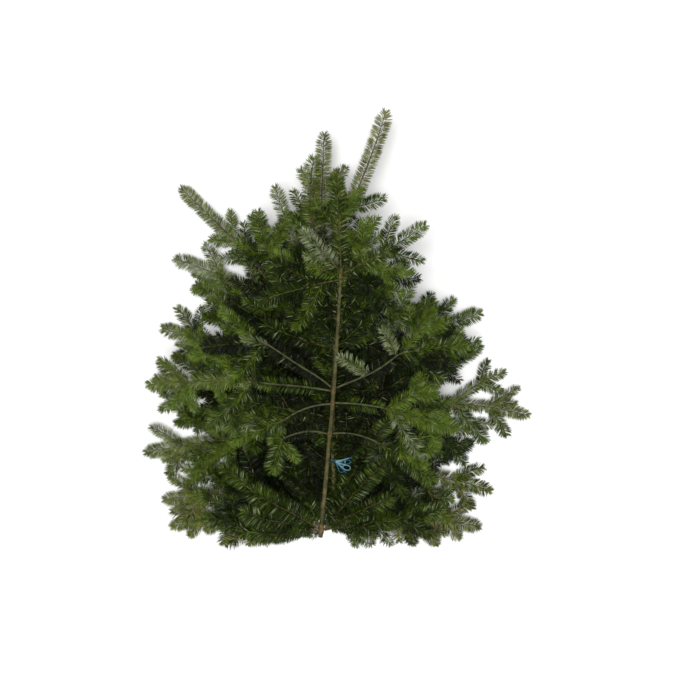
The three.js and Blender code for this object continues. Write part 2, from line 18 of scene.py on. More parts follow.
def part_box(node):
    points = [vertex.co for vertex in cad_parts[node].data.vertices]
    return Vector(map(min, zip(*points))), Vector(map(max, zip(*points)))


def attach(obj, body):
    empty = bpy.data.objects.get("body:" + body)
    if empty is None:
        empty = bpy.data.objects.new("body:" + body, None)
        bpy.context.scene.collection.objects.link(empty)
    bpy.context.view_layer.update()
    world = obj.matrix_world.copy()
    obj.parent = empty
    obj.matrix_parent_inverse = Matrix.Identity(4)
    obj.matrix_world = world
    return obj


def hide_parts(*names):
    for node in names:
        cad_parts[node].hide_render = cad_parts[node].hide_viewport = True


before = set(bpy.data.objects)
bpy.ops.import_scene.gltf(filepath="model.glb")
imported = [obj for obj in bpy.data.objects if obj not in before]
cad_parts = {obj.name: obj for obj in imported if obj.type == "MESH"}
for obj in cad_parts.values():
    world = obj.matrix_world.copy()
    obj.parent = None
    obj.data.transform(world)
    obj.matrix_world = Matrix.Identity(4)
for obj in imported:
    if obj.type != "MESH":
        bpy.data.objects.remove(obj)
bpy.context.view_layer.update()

# The frame of the growing rule

# Where the twine holds the stems, as seen from above.
TIE_X = -48
TIE_Y = 208
LOWEST_STEM_Z = 92
TOUCH = 0.3

# The twine's band: its thickness, how far the front stem leans aside of it as a share of their distance
# apart, and how much wider the band is than the thickest stem that it holds.
TWINE_THICK = 2.6
FRONT_ASIDE = 0.88
TWINE_EASE = 1.08
TWINE_SLACK = 1.4

# Stems lose this share of their butt's radius over the bough's whole length, and swell at each whorl.
STEM_TAPER = 0.5
WHORL_SWELL = 1.22
WHORL_HALF = 13
LIMB_BUTT = 2.9
LIMB_TIP = 2.5
CORE_HALF = 3.6

# The rule of growth: a pair of side twigs at each year's node, shorter the nearer they are to the tip.
YEAR_GROWTH = 118
SIDE_ANGLE = 50
SIDE_BEND = -14
SIDE_SHARE = 0.6
SIDE_EXTRA = 34
ROOT_APART = 7
NODE_AT_END = 16
NODE_AT_STEM = 48
TILT = 0.16
ROLL = 24
LEAST_HEIGHT = 2

# How much the twigs of one rule differ: in share of length, in heading, and a lead in its height.
SHARE_SPREAD = 0.12
ANGLE_SPREAD = 6
LIFT_SPREAD = 6

# Limbs that leave a stem beyond this length of it are needled right from their root.
TOP_WHORL = 600

# How long the bare foot of a twig is, and how thick the twig is there.
LEAD_BARE_AT_END = 4
LEAD_BARE_AT_STEM = 22
LEAD_BARE_AT_TOP = 6
LEAD_BUTT = 3.0
LEAD_BUTT_ON_LIMB = 2.6
SIDE_BARE = 8
SIDE_BUTT = 2.0
FINE_BARE = 4
FINE_BUTT = 1.5

# The foot of the bunch was trimmed at a slant, shorter at its top. No twig reaches past the cut, which
# meets the floor at this line and slopes back by this much for each millimetre up.
TRIM_Y = -150
TRIM_SLOPE = 0.6

# Among the finer twigs the cut arches up by this much below the stems.
TRIM_ARCH = 18
TRIM_ARCH_HALF = 150

# What a lead twig may be raised by. A side twig may be shortened to a share of its length and tilted.
LIFTS = (0, 8, -8, 16, -16, 24, -24, 32, -32, 40, -40)
SIDE_TRIES = ((1, 0), (1, 0.14), (1, -0.14), (0.8, 0.08), (0.8, -0.08), (0.6, 0))

# A twig lies in its solid where its points are nearer to the solid's surface than this, on average.
IN_SOLID = 3.5

# Within how far a twig reaches its layer's height, from a cut end, from a stem, and as a bare limb.
SETTLE_FROM_END = 60
SETTLE_FROM_STEM = 130
SETTLE_LIMB = 140

# How far out from the tie a layer reaches its own height, how far the butts go towards it on their side
# of the tie, and how the layer then sinks to the sides and tips.
SETTLE = 320
BUTT_SETTLE = 0.35
SIDES_FROM = 120
SIDES_TO = 540
TIPS_FROM = 680
TIPS_TO = 1180
TIPS_HANG = 0.32


@dataclass
class Limb:
    """A side limb: where it leaves its stem, where its tip lies, and how it bends on its way.

    leader is its last growth, share the length of its side twigs, rise its height over the layer, and elbow
    where a bare limb ends and its needled growth begins, with the bare limb's bend.
    """
    name: str
    at: float
    x: float
    y: float
    turn: float = 0
    leader: float = YEAR_GROWTH
    share: float = 1
    rise: float = 0
    elbow: tuple = None


@dataclass
class Bough:
    """A bough: its whole length and its stem's, where it is tied, and its butt's radius.

    headings are its first and last heading. middle and outer are its layer's heights in the middle of the
    bunch and at its sides.
    """
    name: str
    length: float
    stem: float
    tie: float
    butt: float
    headings: tuple
    middle: float
    outer: float
    limbs: list


BOUGHS = [
    Bough("left", 1000, 765, 160, 6.8, (-13, -31), 42, 7, [
        Limb("low_left", 18, -564, 14, turn=-8),
        Limb("side_left_1", 210, -608, 172, turn=-10),
        Limb("side_left_2", 310, -588, 386, turn=10),
        Limb("side_left_3", 435, -533, 560, turn=10),
        Limb("side_left_4", 525, -428, 690, turn=8),
        Limb("top_left", 615, -482, 764, turn=-14, leader=140, share=0.85),
        Limb("top_right", 630, -266, 886, turn=-24),
        Limb("tip", 765, -454, 956, turn=2, leader=190, share=0.3),
    ]),
    Bough("right", 765, 577, 180, 6.6, (10, 52), 84, 8, [
        Limb("base_left_1", 36, -548, -80, turn=-6, leader=90, share=0.8),
        Limb("base_left_2", 16, -306, -82, turn=-10, leader=90, share=0.45),
        Limb("low_right_1", 14, 272, -84, turn=-6, share=0.5),
        Limb("low_right_2", 38, 396, -78, turn=4, share=0.85),
        Limb("low_right_3", 155, 424, 40, turn=10, rise=8),
        Limb("side_right_1", 365, 524, 290, turn=10),
        Limb("side_right_2", 470, 338, 490, turn=8),
        Limb("tip", 577, 366, 610, leader=135, share=0.8),
    ]),
    Bough("tall_left", 1085, 845, 190, 7.2, (-4, -1), 126, 58, [
        Limb("base_right", 16, 60, -70, turn=6, leader=70, share=0.5),
        Limb("low_left", 287, -386, 312, turn=-6),
        Limb("side_left_1", 510, -322, 672, turn=8),
        Limb("side_right", 515, 278, 582, turn=12),
        Limb("side_left_2", 525, -242, 910, turn=30, share=0.85),
        Limb("top_left", 707, -194, 974, turn=22, leader=135, share=0.55),
        Limb("tip_left", 765, -94, 1050, turn=22, leader=150, share=0.35, rise=20),
        Limb("tip", 845, -67, 1107, leader=150, share=0.6),
    ]),
    Bough("tall_right", 1160, 875, 175, 7.2, (-1, 8), 170, 96, [
        Limb("side_left_1", 305, -276, 398, turn=-8),
        Limb("side_right_1", 310, 268, 318, turn=10),
        Limb("side_left_2", 520, -226, 622, turn=8),
        Limb("side_right_2", 525, 224, 678, turn=-8),
        Limb("top_right", 682, 141, 789, turn=-12, share=0.7),
        Limb("tip", 875, 90, 1165, turn=-10, leader=240, share=0.4),
    ]),
    Bough("front", 1068, 816, 236, 6.9, (5.5, 2.5), 222, 140, [
        Limb("low_right_1", 26, 104, 344, turn=-4, rise=-24),
        Limb("low_right_2", 18, 256, 72, turn=8, rise=-10),
        Limb("low_left_1", 28, -358, 194, turn=-6, rise=-24),
        Limb("low_left_2", 18, -416, 32, turn=8, rise=-10),
        Limb("side_left_1", 321, -215, 203, turn=-10, rise=14, leader=85, elbow=(-182, 302, -34)),
        Limb("side_right_1", 324, 229, 174, turn=16, rise=14, elbow=(78, 286, 26)),
        Limb("side_left_2", 431, -262, 320, rise=2, leader=80, elbow=(-176, 360, -36)),
        Limb("side_right_2", 435, 290, 326, turn=6, rise=2, elbow=(92, 398, 6)),
        Limb("side_left_3", 474, -552, 436, turn=-8, rise=-8, elbow=(-254, 472, -6)),
        Limb("side_left_4", 480, -388, 564, turn=-12, rise=16, elbow=(-215, 588, -10)),
        Limb("side_right_4", 482, 311, 566, turn=14, rise=16, elbow=(126, 560, -16)),
        Limb("top_left_1", 794, -199, 819, turn=-8, rise=-6),
        Limb("top_left_2", 786, -227, 708, turn=-8, rise=8),
        Limb("top_left_3", 804, -119, 882, turn=-6, rise=16, share=0.5),
        Limb("top_right_1", 798, 189, 894, turn=-4, rise=14, share=0.8),
        Limb("top_right_2", 790, 175, 755, turn=4, rise=-6),
        Limb("tip", 816, -35, 1022, leader=130, share=0.8),
    ]),
]

# What the solids leave to this script

# Side twigs of side twigs: how long they are, how they turn, and how much one differs from another.
FINE_SHARE = 0.5
FINE_SHARE_SPREAD = 0.22
FINE_EXTRA = 26
FINE_ANGLE = 48
FINE_ANGLE_SPREAD = 8
FINE_BEND = 12
FINE_APART = 3
FINE_TILT = 0.2
FINE_ROLL = 38

# The years that finer twigs fork in, by how deep they are in the forking, and how many are left out.
FINE_YEAR = (118, 92, 78, 70)
FINE_LAST_YEAR = (100, 84, 72, 66)
FINE_FIRST_NODE = 16
FINE_LEFT_OUT = 0.34
SHORTEST_FORKED = 104
SHORTEST_TWIG = 50
DEEPEST_ORDER = 3

# Short shoots along the stems, which fill the middle of the bunch. They spread wider near the foot. The
# front stem has them behind its upper part, the others along this share of their length.
STEM_SHOOT = 112
STEM_SHOOT_SPREAD = 0.35
STEM_SHOOT_STEP = 34
STEM_SHOOT_FIRST = 12
STEM_SHOOT_ANGLE = 50
STEM_SHOOT_ANGLE_SPREAD = 14
STEM_SHOOT_TILT = 0.22
STEM_SHOOT_SINK = 0.06
FOOT_REACH = 150
FOOT_ANGLE = 58
HIDDEN_SHOOTS_SHARE = 0.8
FRONT_SHOOTS_FROM = 588
FRONT_SHOOT_SINK = 0.24

# The long shoots that spread from the front stem's foot like the ribs of a fan: their heading, their
# length, and how far above their layer they rise.
FOOT_SHOOTS = (
    (-82, 200, -6), (-67, 230, 6), (-51, 240, 14), (-28, 170, -78),
    (22, 160, -80), (39, 300, 4), (57, 230, 12), (76, 210, -6),
)
FOOT_SHOOTS_SETTLE = 190
FOOT_SHOOTS_AT = 8
FOOT_SHOOTS_STEP = 5
FOOT_SHOOT_BARE = 12
FOOT_SHOOT_BUTT = 2.4
FOOT_SHOOT_BEND = 8
FOOT_SHOOT_LIFT_SPREAD = 5

# Loose shoots on bare limbs of the front bough: the limb, the share along it, the heading and the length.
# They lie turned over, with their pale sides up.
LOOSE_SHOOTS = (
    ("side_right_4", 0.5, -48, 92), ("side_right_4", 0.96, -20, 84), ("side_left_4", 0.97, -70, 70),
)
TURNED_SHOOTS = [(4, 300 + n, 0) for n in range(len(LOOSE_SHOOTS))]
LOOSE_TILT = 0.1

# Needles of nearly the real size, 1.8 mm wide and folded along their middle: long in the middle of the
# bunch, shorter towards its tips.
NEEDLE_INNER = 30
NEEDLE_OUTER = 25
NEEDLE_INNER_REACH = 340
NEEDLE_OUTER_REACH = 700
NEEDLE_HALF = 0.9
NEEDLE_FOLD = 0.35
NEEDLE_WIDEST = 0.55
NEEDLES_PER_MM = 2.7

# How far a needle's root lies out from its twig's middle, and its share of the radius on a stem or limb. The
# blade faces up, and leans out with the needle by this share.
ROOT_OUT = 0.6
ROOT_IN_BARK = 0.9
BLADE_LEAN = 0.2

# A bough's needles go on in another piece once one piece holds this many.
FULL_PIECE = 36000

# The last growth of a lead has denser and longer needles, which stand out at its sides.
LEADER_NEEDLES_PER_MM = 3.2
LEADER_FROM_TIP = 130
LEADER_SIZE = 1.04
LEADER_TOP_SHARE = 0.26

# The lowest limbs of the front bough carry the longest needles, like wide combs.
COMBS = ("front_low_right_1", "front_low_right_2", "front_low_left_1", "front_low_left_2")
COMB_LIMB_SIZE = 1.12
COMB_SIZE = 1.08
COMB_NEEDLES_PER_MM = 4.2
COMB_TOP_SHARE = 0.2
COMB_BARE = 20

# Where the front stem and the hidden ones carry needles: from, to, how many in a millimetre, and their size.
FRONT_STEM_NEEDLES = ((458, 668, 0.5, 0.55), (668, 768, 1.0, 0.65), (768, 816, 3.2, 0.9))
HIDDEN_STEM_NEEDLES = ((20, 1160, 3.2, 0.9),)
HIDDEN_TOP_SHARE = 0.55

# A bare limb's few needles: from this share of its length, how many in a millimetre, and their size.
LIMB_NEEDLES = (0.2, 1.3, 0.8)
LIMB_TOP_SHARE = 0.05

# The share of needles that stand over a twig's top. The others stand out at its sides.
TOP_SHARE = 0.36

# The angle round the twig, from straight out at its side to straight up.
TOP_LIFT = (30, 92)
SIDE_LIFT = (-16, 26)
COMB_LIFT = (-12, 18)

# The angle from the twig's way ahead, at its tip too, and how much wider it is on leads and on the tips
# that carry painted light.
TOP_FORWARD = (34, 54)
SIDE_FORWARD = (54, 70)
TIP_FORWARD = (8, 46)
LEAD_WIDER = 6
LIT_OLIVE_WIDER = 15

# How one needle's length, half width and curve differ from another's, and how each is twisted.
TOP_REACH = (0.6, 0.8)
SIDE_REACH = (0.9, 1.06)
HALF_RANGE = (0.85, 1.15)
TIP_CURVE = (-0.03, 0.08)
NEEDLE_TWIST = 0.2
COMB_TWIST = 0.16

# Needles are shorter near a twig's tip, and near its root: within this length, by this share.
NEAR_TIP = 22
TIP_SHORTER = 0.3
TWIG_ROOT = (14, 0.25)
COMB_ROOT = (60, 0.45)

# Which green a needle's upper side has. The undersides are pale, or on the darker
# twigs dimmer, as painted shade.
DEEP, DARK, MID, FRESH, PALE, LIT_OLIVE, SHADED = range(7)
SHADED_SHARE = 0.9

# The shares of deep, dark, mid and fresh sprays in each layer, from the lowest one up.
# The lower layers get more deep and dark sprays: painted shade from the layers above them.
TONE_SHARES = [
    (0.40, 0.38, 0.16, 0.06),
    (0.36, 0.36, 0.20, 0.08),
    (0.28, 0.36, 0.24, 0.12),
    (0.22, 0.34, 0.26, 0.18),
    (0.12, 0.32, 0.30, 0.26),
]

# Some sprays are a tone lighter or darker than the rest of their layer. The lighter ones on the bunch's left
# are painted light.
LIGHTER_LIMBS = (
    "front_side_left_1", "front_side_left_2", "front_side_left_3", "front_side_right_2",
    "front_top_right_1", "right_tip", "left_side_left_2", "left_side_left_3",
    "left_side_left_4", "left_top_left", "left_top_right",
)
DARKER_LIMBS = (
    "left_low_left", "right_base_left_1", "right_base_left_2", "right_low_right_1", "right_low_right_2",
)

# Some sprays lie turned over, so that this share of their needles show their pale undersides. Other shoots
# do so by this chance.
TURNED_LIMBS = ("tall_left_top_left", "front_top_left_3", "left_top_left")
TURNED_LEAD = 0.75
TURNED_SIDE = 0.4
TURNED_SHOOT = 0.6
TURNED_CHANCE = 0.03

# The share of turned needles everywhere, how much it grows at the outermost tips above the foot, and over
# how much of the reach, and of the way ahead, it does so.
LEAST_TURNED = 0.03
PALE_LEFT = 0.32
PALE_RIGHT = 0.18
PALE_OVER = 0.2
PALE_FROM_Y = 100
PALE_OVER_Y = 200

# How far the bunch reaches from its tie: to the sides, ahead, and back past the cut ends.
REACH_ASIDE = 560
REACH_AHEAD = 930
REACH_BACK = 340

# Sprays that end beyond this share of the reach are painted in the light, and are never dark. Those that end
# nearer than this share, except on the front bough, are painted a tone darker as shade.
OUTER_SPRAY = 0.76
OUTERMOST_SPRAY = 0.84
INNER_SPRAY = 0.52

# The chance that an outer spray is a tone lighter still: painted light, more of it on the bunch's left side.
LIT_LEFT = 0.5
LIT_RIGHT = 0.12

# The chances that a finer twig, or a needle on its twig, is a tone fresher or duller than its spray. A
# comb lead's needles are often a tone lighter: painted highlights.
TWIG_FRESHER = 0.16
TWIG_DULLER = 0.22
NEEDLE_DRIFT = 0.11
COMB_PAINTED_HIGHLIGHT = 0.6

# Needles are fresher beyond this share of their twig. Above this lift they are painted lighter, as lit from
# above, and below this lift painted in shade.
LAST_YEAR_FROM = 0.72
LAST_YEAR_FRESHER = 0.5
HIGH_LIFT = 42
HIGH_PAINTED_LIGHT = 0.4
LOW_LIFT = 8
LOW_PAINTED_SHADE = 0.5

# The share of olive needles at the outermost tips, which paint light shining through them, and where it is
# another one.
LIT_OLIVE_SHARE = 0.4
LIT_OLIVE_LIMBS = {"tall_left_tip_left": 0.75, "tall_right_tip": 0.8, "tall_left_tip": 0.6}
LIT_OLIVE_FROM = 0.8
LIT_OLIVE_OVER = 0.25

# Nothing comes nearer to the floor than this: no needle or bud, and no twig's bark.
LEAST_Z = 0.4
LEAST_BARK_Z = 0.5

# Bark and twigs: how many sides they have, and how long the steps along them are.
BARK_SIDES = 20
LIMB_SIDES = 12
BARK_STEP = 4
TWIG_SIDES = 5
TWIG_STEP = 17
TWIG_TIP = 1.0

# Buds: the one at a twig's end, and how much smaller the two beside it are.
BUD_LENGTH = 6.5
BUD_HALF = 2.2
BUD_SIDES = 5
BUD_WIDEST = 0.45
SIDE_BUD = 0.75

# The relief of bark: how many broad ridges cross each other, how long and how high they are, and the scars
# that needles leave: how far apart they are, and their height, half length and half width.
RIDGES = 9
RIDGE_LENGTH = (14, 90)
RIDGE_HEIGHT = 0.014
SCAR_STEP = 5
SCAR_HEIGHT = 0.075
SCAR_HALF = 3.2
SCAR_TURN = 0.3

# Rings of points across a stem's cut end, as shares of its radius.
CUT_RINGS = (0.28, 0.55, 0.8, 0.94)

# The twine's strands: their radii in the band, the knot, the bow, the ends and the frayed fibres.
BAND_RADIUS = 1.22
KNOT_RADIUS = 1.4
BOW_RADIUS = 1.3
END_RADIUS = 1.35
FRAY_RADIUS = 0.32

# The length of a strand's step and of its twist, and the height of its ridges.
TWINE_STEP = 1.2
TWINE_TWIST = 11.0
TWINE_RIDGE = 0.13

# Where the turns of the band lie across it, how large the knot is, and the loops of the bow: their heading,
# and how far they reach and spread.
BAND_TURNS = (-2.35, 0, 2.35)
KNOT_SIZE = (1.6, 1.4, 2.4)
BOW_LIFT = 20
BOW_LOOPS = ((94, 44, 8), (121, 50, 10), (146, 42, 9), (108, 30, 12))

# The twine's two ends: which way they go, and how high they rise on their way out and down. Their fibres
# part at the tips.
LOOSE_ENDS = ((0.62, -0.78, 5), (0.97, 0.2, 9))
END_REACH = 52
END_CURVE = 22
END_DROP = 6
END_SHARE = 0.8
FRAYED = 9
FRAY_FROM = 0.72
FRAY_TO = 0.99
FRAY_STRAY = (2.4, 2.4, 1.2)

# The size of one cell of each material's pattern.
NEEDLE_TINT = 30.3
NEEDLE_GROOVE = 2
BARK_FLECK = 3.03
BARK_CRACK = 1.43
RING_WAVE = 5.56
TWINE_FIBRE = 1.11
PAPER_TOOTH = 2.5

# The floor, in metres, and the lamps: the degrees that they lean by and are across, and their strength.
FLOOR_HALF = 30
LAMPS = (("key", -14, -5, 30, 2.8), ("fill", -10, 16, 90, 0.6))
SKY_STRENGTH = 0.18

# The camera looks down on the bunch from above its tips' side, as the photograph does.
CAMERA_TILT = 18.87
CAMERA_AWAY = 2463
CAMERA_AIM = (0, 536.5, 130)
CAMERA_LENS = 46.286
CAMERA_SENSOR = 36


def smooth(x):
    x = np.clip(x, 0, 1)
    return x * x * (3 - 2 * x)


def mix(a, b, share):
    return a + (b - a) * share


def chance(*keys):
    """A number from 0 to 1 that depends only on its keys. The bare ones among them tell draws apart."""
    h = 2166136261
    for key in keys:
        h = ((h ^ (key & 0xFFFFFFFF)) * 16777619) & 0xFFFFFFFF
        h ^= h >> 13
        h = (h * 1540483477) & 0xFFFFFFFF
        h ^= h >> 15
    return h / 4294967296


def spread(amount, *keys):
    return amount * (2 * chance(*keys) - 1)


def seeded(*keys):
    """A seeded source of many numbers, for what a single twig needs."""
    return np.random.default_rng(int(chance(*keys) * 4294967295))


# Stems, layers and paths

def stem_radius(bough, s):
    s = np.asarray(s, float)
    nearest = np.min([np.abs(limb.at - s) for limb in bough.limbs], axis=0)
    plain = bough.butt * (1 - STEM_TAPER * s / bough.length)
    return plain * mix(WHORL_SWELL, 1, smooth(nearest / WHORL_HALF))


def band_inside():
    """The inside of the twine's band: its half width, and its lowest and highest points."""
    held = [bough for bough in BOUGHS if bough.name != "front"]
    radii = [float(stem_radius(bough, bough.tie)) for bough in held]
    half = max(radii) * TWINE_EASE + TWINE_SLACK
    return half, held[0].tie_z - radii[0] - TOUCH, held[-1].tie_z + radii[-1] + TOUCH


def settle_at_tie():
    """Where the stems cross at the twine: four inside it, and the front one on its outside."""
    z = LOWEST_STEM_Z
    below = 0
    for layer, bough in enumerate(BOUGHS):
        r = float(stem_radius(bough, bough.tie))
        bough.layer = layer
        bough.tie_x = TIE_X
        if bough.name == "front":
            half, _, top = band_inside()
            apart = half + TWINE_THICK + 2 * TOUCH + r
            bough.tie_x = TIE_X - FRONT_ASIDE * apart
            bough.tie_z = top - half + math.sqrt(1 - FRONT_ASIDE**2) * apart
            return
        z += below + r + TOUCH if layer else 0
        bough.tie_z = z
        below = r


def layer_height(bough, x, y):
    from_tie = np.hypot(x - TIE_X, y - TIE_Y)
    middle = mix(bough.tie_z, bough.middle, smooth(from_tie / SETTLE))
    sideways = (np.abs(x - TIE_X) - SIDES_FROM) / (SIDES_TO - SIDES_FROM)
    hang = TIPS_HANG * smooth((y - TIPS_FROM) / (TIPS_TO - TIPS_FROM))
    return mix(middle, bough.outer, smooth(sideways)) * (1 - hang)


def heading(bough, s):
    return mix(bough.headings[0], bough.headings[1], smooth(s / bough.length))


def stem_path(bough):
    """The centreline of a bough's stem, laid out from the tie both ways in short steps."""
    step = 5
    count = math.ceil(bough.length / step) + 1
    at_tie = round(bough.tie / step)
    angles = np.radians(heading(bough, step * (np.arange(count - 1) + 0.5)))
    xs = np.concatenate([[0], np.cumsum(step * np.sin(angles))])
    ys = np.concatenate([[0], np.cumsum(step * np.cos(angles))])
    xs += bough.tie_x - xs[at_tie]
    ys += TIE_Y - ys[at_tie]
    marks = step * np.arange(count)

    def path(s):
        s = np.atleast_1d(np.asarray(s, float))
        x = np.interp(s, marks, xs)
        y = np.interp(s, marks, ys)
        below = mix(bough.tie_z, bough.middle, BUTT_SETTLE * smooth((bough.tie - s) / SETTLE))
        z = np.where(s < bough.tie, below, layer_height(bough, x, y))
        return np.stack([x, y, z], axis=1)

    return path


def arc(bough, start, begin, turn, length, settle, slope=0, tilt=0, lift=0):
    """An arc over the floor that turns evenly, and settles to its layer or tilts away from it."""
    a = math.radians(begin)
    bend = math.radians(turn if abs(turn) >= 0.1 else 0.1) / length

    def path(s):
        s = np.atleast_1d(np.asarray(s, float))
        x = start[0] + (math.cos(a) - np.cos(a + bend * s)) / bend
        y = start[1] + (np.sin(a + bend * s) - math.sin(a)) / bend
        layer = layer_height(bough, x, y) + lift
        carried = start[2] + layer - layer_height(bough, start[0], start[1]) - lift
        settled = mix(start[2] + slope * s, layer, smooth(s / settle))
        z = carried + tilt * s if tilt else settled
        return np.stack([x, y, np.maximum(z, LEAST_HEIGHT)], axis=1)

    return path


def unit(v):
    return v / np.maximum(np.linalg.norm(v, axis=-1, keepdims=True), 1e-9)


def frames(path, s, length, roll=0):
    """The points of a path, and the directions along, to the right of and above it there."""
    s = np.atleast_1d(np.asarray(s, float))
    reach = min(2, length / 4)
    along = unit(path(np.minimum(length, s + reach)) - path(np.maximum(0, s - reach)))
    right = unit(np.cross(along, [0.0, 0.0, 1.0]))
    above = np.cross(right, along)
    c = np.cos(np.radians(roll))
    d = np.sin(np.radians(roll))
    return path(s), along, right * c - above * d, above * c + right * d


def ring(right, above, turns):
    """The directions all round a path, for each of its points."""
    return right[:, None] * np.sin(turns)[:, None] + above[:, None] * np.cos(turns)[:, None]


def aim(start, target, turn):
    """The heading and length of the arc that turns by `turn` on its way to a point of the floor plan."""
    x = target[0] - start[0]
    y = target[1] - start[1]
    half = math.radians(turn if abs(turn) >= 0.1 else 0.1) / 2
    return math.degrees(math.atan2(x, y) - half), math.hypot(x, y) * half / math.sin(half)


def towards(angle):
    return np.array([math.sin(math.radians(angle)), math.cos(math.radians(angle)), 0])


# The part's own frame

def offset_to_part():
    """What carries the growing rule's frame to the part's own, from the solids of the twine and a stem."""
    half, bottom, _ = band_inside()
    front = BOUGHS[-1]
    at, _, right, above = frames(front.path, 0, front.stem)
    cut = at + ring(right, above, np.radians(np.arange(8) * 45))[0] * float(stem_radius(front, 0))
    twine_low = 1000 * np.array(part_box("twine")[0])
    stem_low = 1000 * np.array(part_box("front_stem")[0])
    x = twine_low[0] - (TIE_X - half - TWINE_THICK)
    y = stem_low[1] - cut[:, 1].min()
    z = twine_low[2] - (bottom - TWINE_THICK)
    return np.array([x, y, z])


settle_at_tie()
for bough in BOUGHS:
    bough.path = stem_path(bough)
TO_PART = offset_to_part()


def in_part(points):
    return (np.asarray(points, float) + TO_PART) / 1000


class Solid:
    """The nearest distance to one of the part's solids, in the growing rule's frame."""

    def __init__(self, node):
        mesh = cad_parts[node].data
        points = np.empty(3 * len(mesh.vertices))
        mesh.vertices.foreach_get("co", points)
        matrix = np.array(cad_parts[node].matrix_world)
        points = points.reshape(-1, 3) @ matrix[:3, :3].T + matrix[:3, 3]
        faces = [tuple(face.vertices) for face in mesh.polygons]
        self.tree = BVHTree.FromPolygons((1000 * points - TO_PART).tolist(), faces)

    def miss(self, points):
        return float(np.mean([self.tree.find_nearest(Vector(p))[3] for p in points]))


# Growth

@dataclass
class Twig:
    """A needled twig. mass is its limb's number, order how deep it is in the forking, and key seeds it.

    begin and turn are its first heading and how far it turns on its way.
    """
    bough: Bough
    mass: int
    path: object
    length: float
    order: int
    key: tuple
    roll: float = 0
    bare: float = 0
    butt: float = 0
    begin: float = 0
    turn: float = 0


def beside_stem(bough, limb, target, turn, half):
    """Where a limb starts at the side of its stem."""
    centre = bough.path(limb.at)[0]
    begin, _ = aim(centre, target, turn)
    slant = math.sin(math.radians(abs(begin - heading(bough, limb.at))))
    out = (0.93 * float(stem_radius(bough, limb.at)) + TOUCH + half * math.sqrt(1 - slant**2)) / slant
    return centre + towards(begin) * out, 0


def beyond_end(path, length, target, turn):
    """Where a twig goes on from the end of a stem or limb."""
    at, along, _, _ = frames(path, length, length)
    slope = along[0, 2] / math.hypot(along[0, 0], along[0, 1])
    ahead = math.degrees(math.atan2(along[0, 0], along[0, 1]))
    begin, _ = aim(at[0], target, turn)
    gap = TOUCH + CORE_HALF * abs(math.sin(math.radians(begin - ahead)))
    return at[0] + along[0] * gap, slope


def bare_limb(bough, limb):
    x, y, turn = limb.elbow
    start, _ = beside_stem(bough, limb, (x, y), turn, LIMB_BUTT)
    begin, length = aim(start, (x, y), turn)
    return arc(bough, start, begin, turn, length, SETTLE_LIMB, lift=limb.rise), length


def lead_twig(bough, limb, index, solid):
    """The lead twig of a limb's needled growth, at the lift that its solid has."""
    at_end = limb.elbow or limb.name == "tip"
    target = (limb.x, limb.y)
    if limb.elbow:
        limb.path, limb.length = bare_limb(bough, limb)
        start, slope = beyond_end(limb.path, limb.length, target, limb.turn)
    elif at_end:
        start, slope = beyond_end(bough.path, bough.stem, target, limb.turn)
    else:
        start, slope = beside_stem(bough, limb, target, limb.turn, CORE_HALF)
    first = limb.rise + spread(LIFT_SPREAD, bough.layer, index, 1)
    roll = spread(ROLL / 2, bough.layer, index, 2)
    begin, length = aim(start, target, limb.turn)
    settle = SETTLE_FROM_END if at_end else SETTLE_FROM_STEM
    tries = []
    for lift in LIFTS:
        path = arc(bough, start, begin, limb.turn, length, settle, slope, lift=first + lift)
        tries.append((solid.miss(path([0.55 * length, 0.8 * length])), len(tries), path))
    path = min(tries)[2]
    bare = LEAD_BARE_AT_END if at_end else LEAD_BARE_AT_STEM
    if limb.at > TOP_WHORL:
        bare = LEAD_BARE_AT_TOP
    butt = LEAD_BUTT_ON_LIMB if limb.elbow else LEAD_BUTT
    return Twig(bough, index, path, length, 0, (bough.layer, index), roll, bare, butt, begin, limb.turn)


def nodes_along(limb, length):
    first = NODE_AT_END if limb.elbow or limb.name == "tip" else NODE_AT_STEM
    forked = length - limb.leader - first
    if forked < YEAR_GROWTH / 3:
        return [first]
    years = max(1, math.floor(forked / YEAR_GROWTH + 0.5))
    return [first + forked * year / years for year in range(years + 1)]


def trimmed_away(tip, arch=0):
    rise = arch * math.exp(-((tip[0] - TIE_X) / TRIM_ARCH_HALF) ** 2)
    return tip[1] < TRIM_Y + TRIM_SLOPE * tip[2] + rise


def tilted_twig(bough, mass, start, begin, turn, length, tilt, order, key, roll):
    """A side twig or a finer one, which runs beside its layer at a tilt."""
    path = arc(bough, start, begin, turn, length, length, tilt=tilt or 0.001)
    bare, butt = (SIDE_BARE, SIDE_BUTT) if order == 1 else (FINE_BARE, FINE_BUTT)
    return Twig(bough, mass, path, length, order, key, roll, bare, butt, begin, turn)


def off_stem(bough, at, angle, share):
    """Where a shoot starts inside a stem's bark."""
    return bough.path(at)[0] + towards(angle) * share * float(stem_radius(bough, at))


def side_twigs(bough, limb, index, lead, solid):
    """The side twigs of a lead, each as its solid has it: tilted, shortened or left out."""
    twigs = []
    for n, s in enumerate(nodes_along(limb, lead.length)):
        for hand in (-1, 1):
            key = 10 * n + hand
            share = SIDE_SHARE * limb.share * (1 + spread(SHARE_SPREAD, bough.layer, index, key, 3))
            full = share * (lead.length - s) + SIDE_EXTRA
            angle = lead.begin + limb.turn * s / lead.length
            angle += hand * (SIDE_ANGLE + spread(ANGLE_SPREAD, bough.layer, index, key, 4))
            turn = hand * SIDE_BEND
            tilt = spread(TILT, bough.layer, index, key, 5)
            roll = spread(ROLL, bough.layer, index, key, 6)
            start = lead.path(s + hand * ROOT_APART)[0]
            for shorter, more in SIDE_TRIES:
                length = full * shorter
                twig = tilted_twig(bough, index, start, angle, turn, length, tilt + more, 1,
                                   (bough.layer, index, key), roll)
                if trimmed_away(twig.path(length)[0]):
                    continue
                if solid.miss(twig.path(np.array([0.5, 0.75, 0.97]) * length)) < IN_SOLID:
                    twigs.append(twig)
                    break
    return twigs


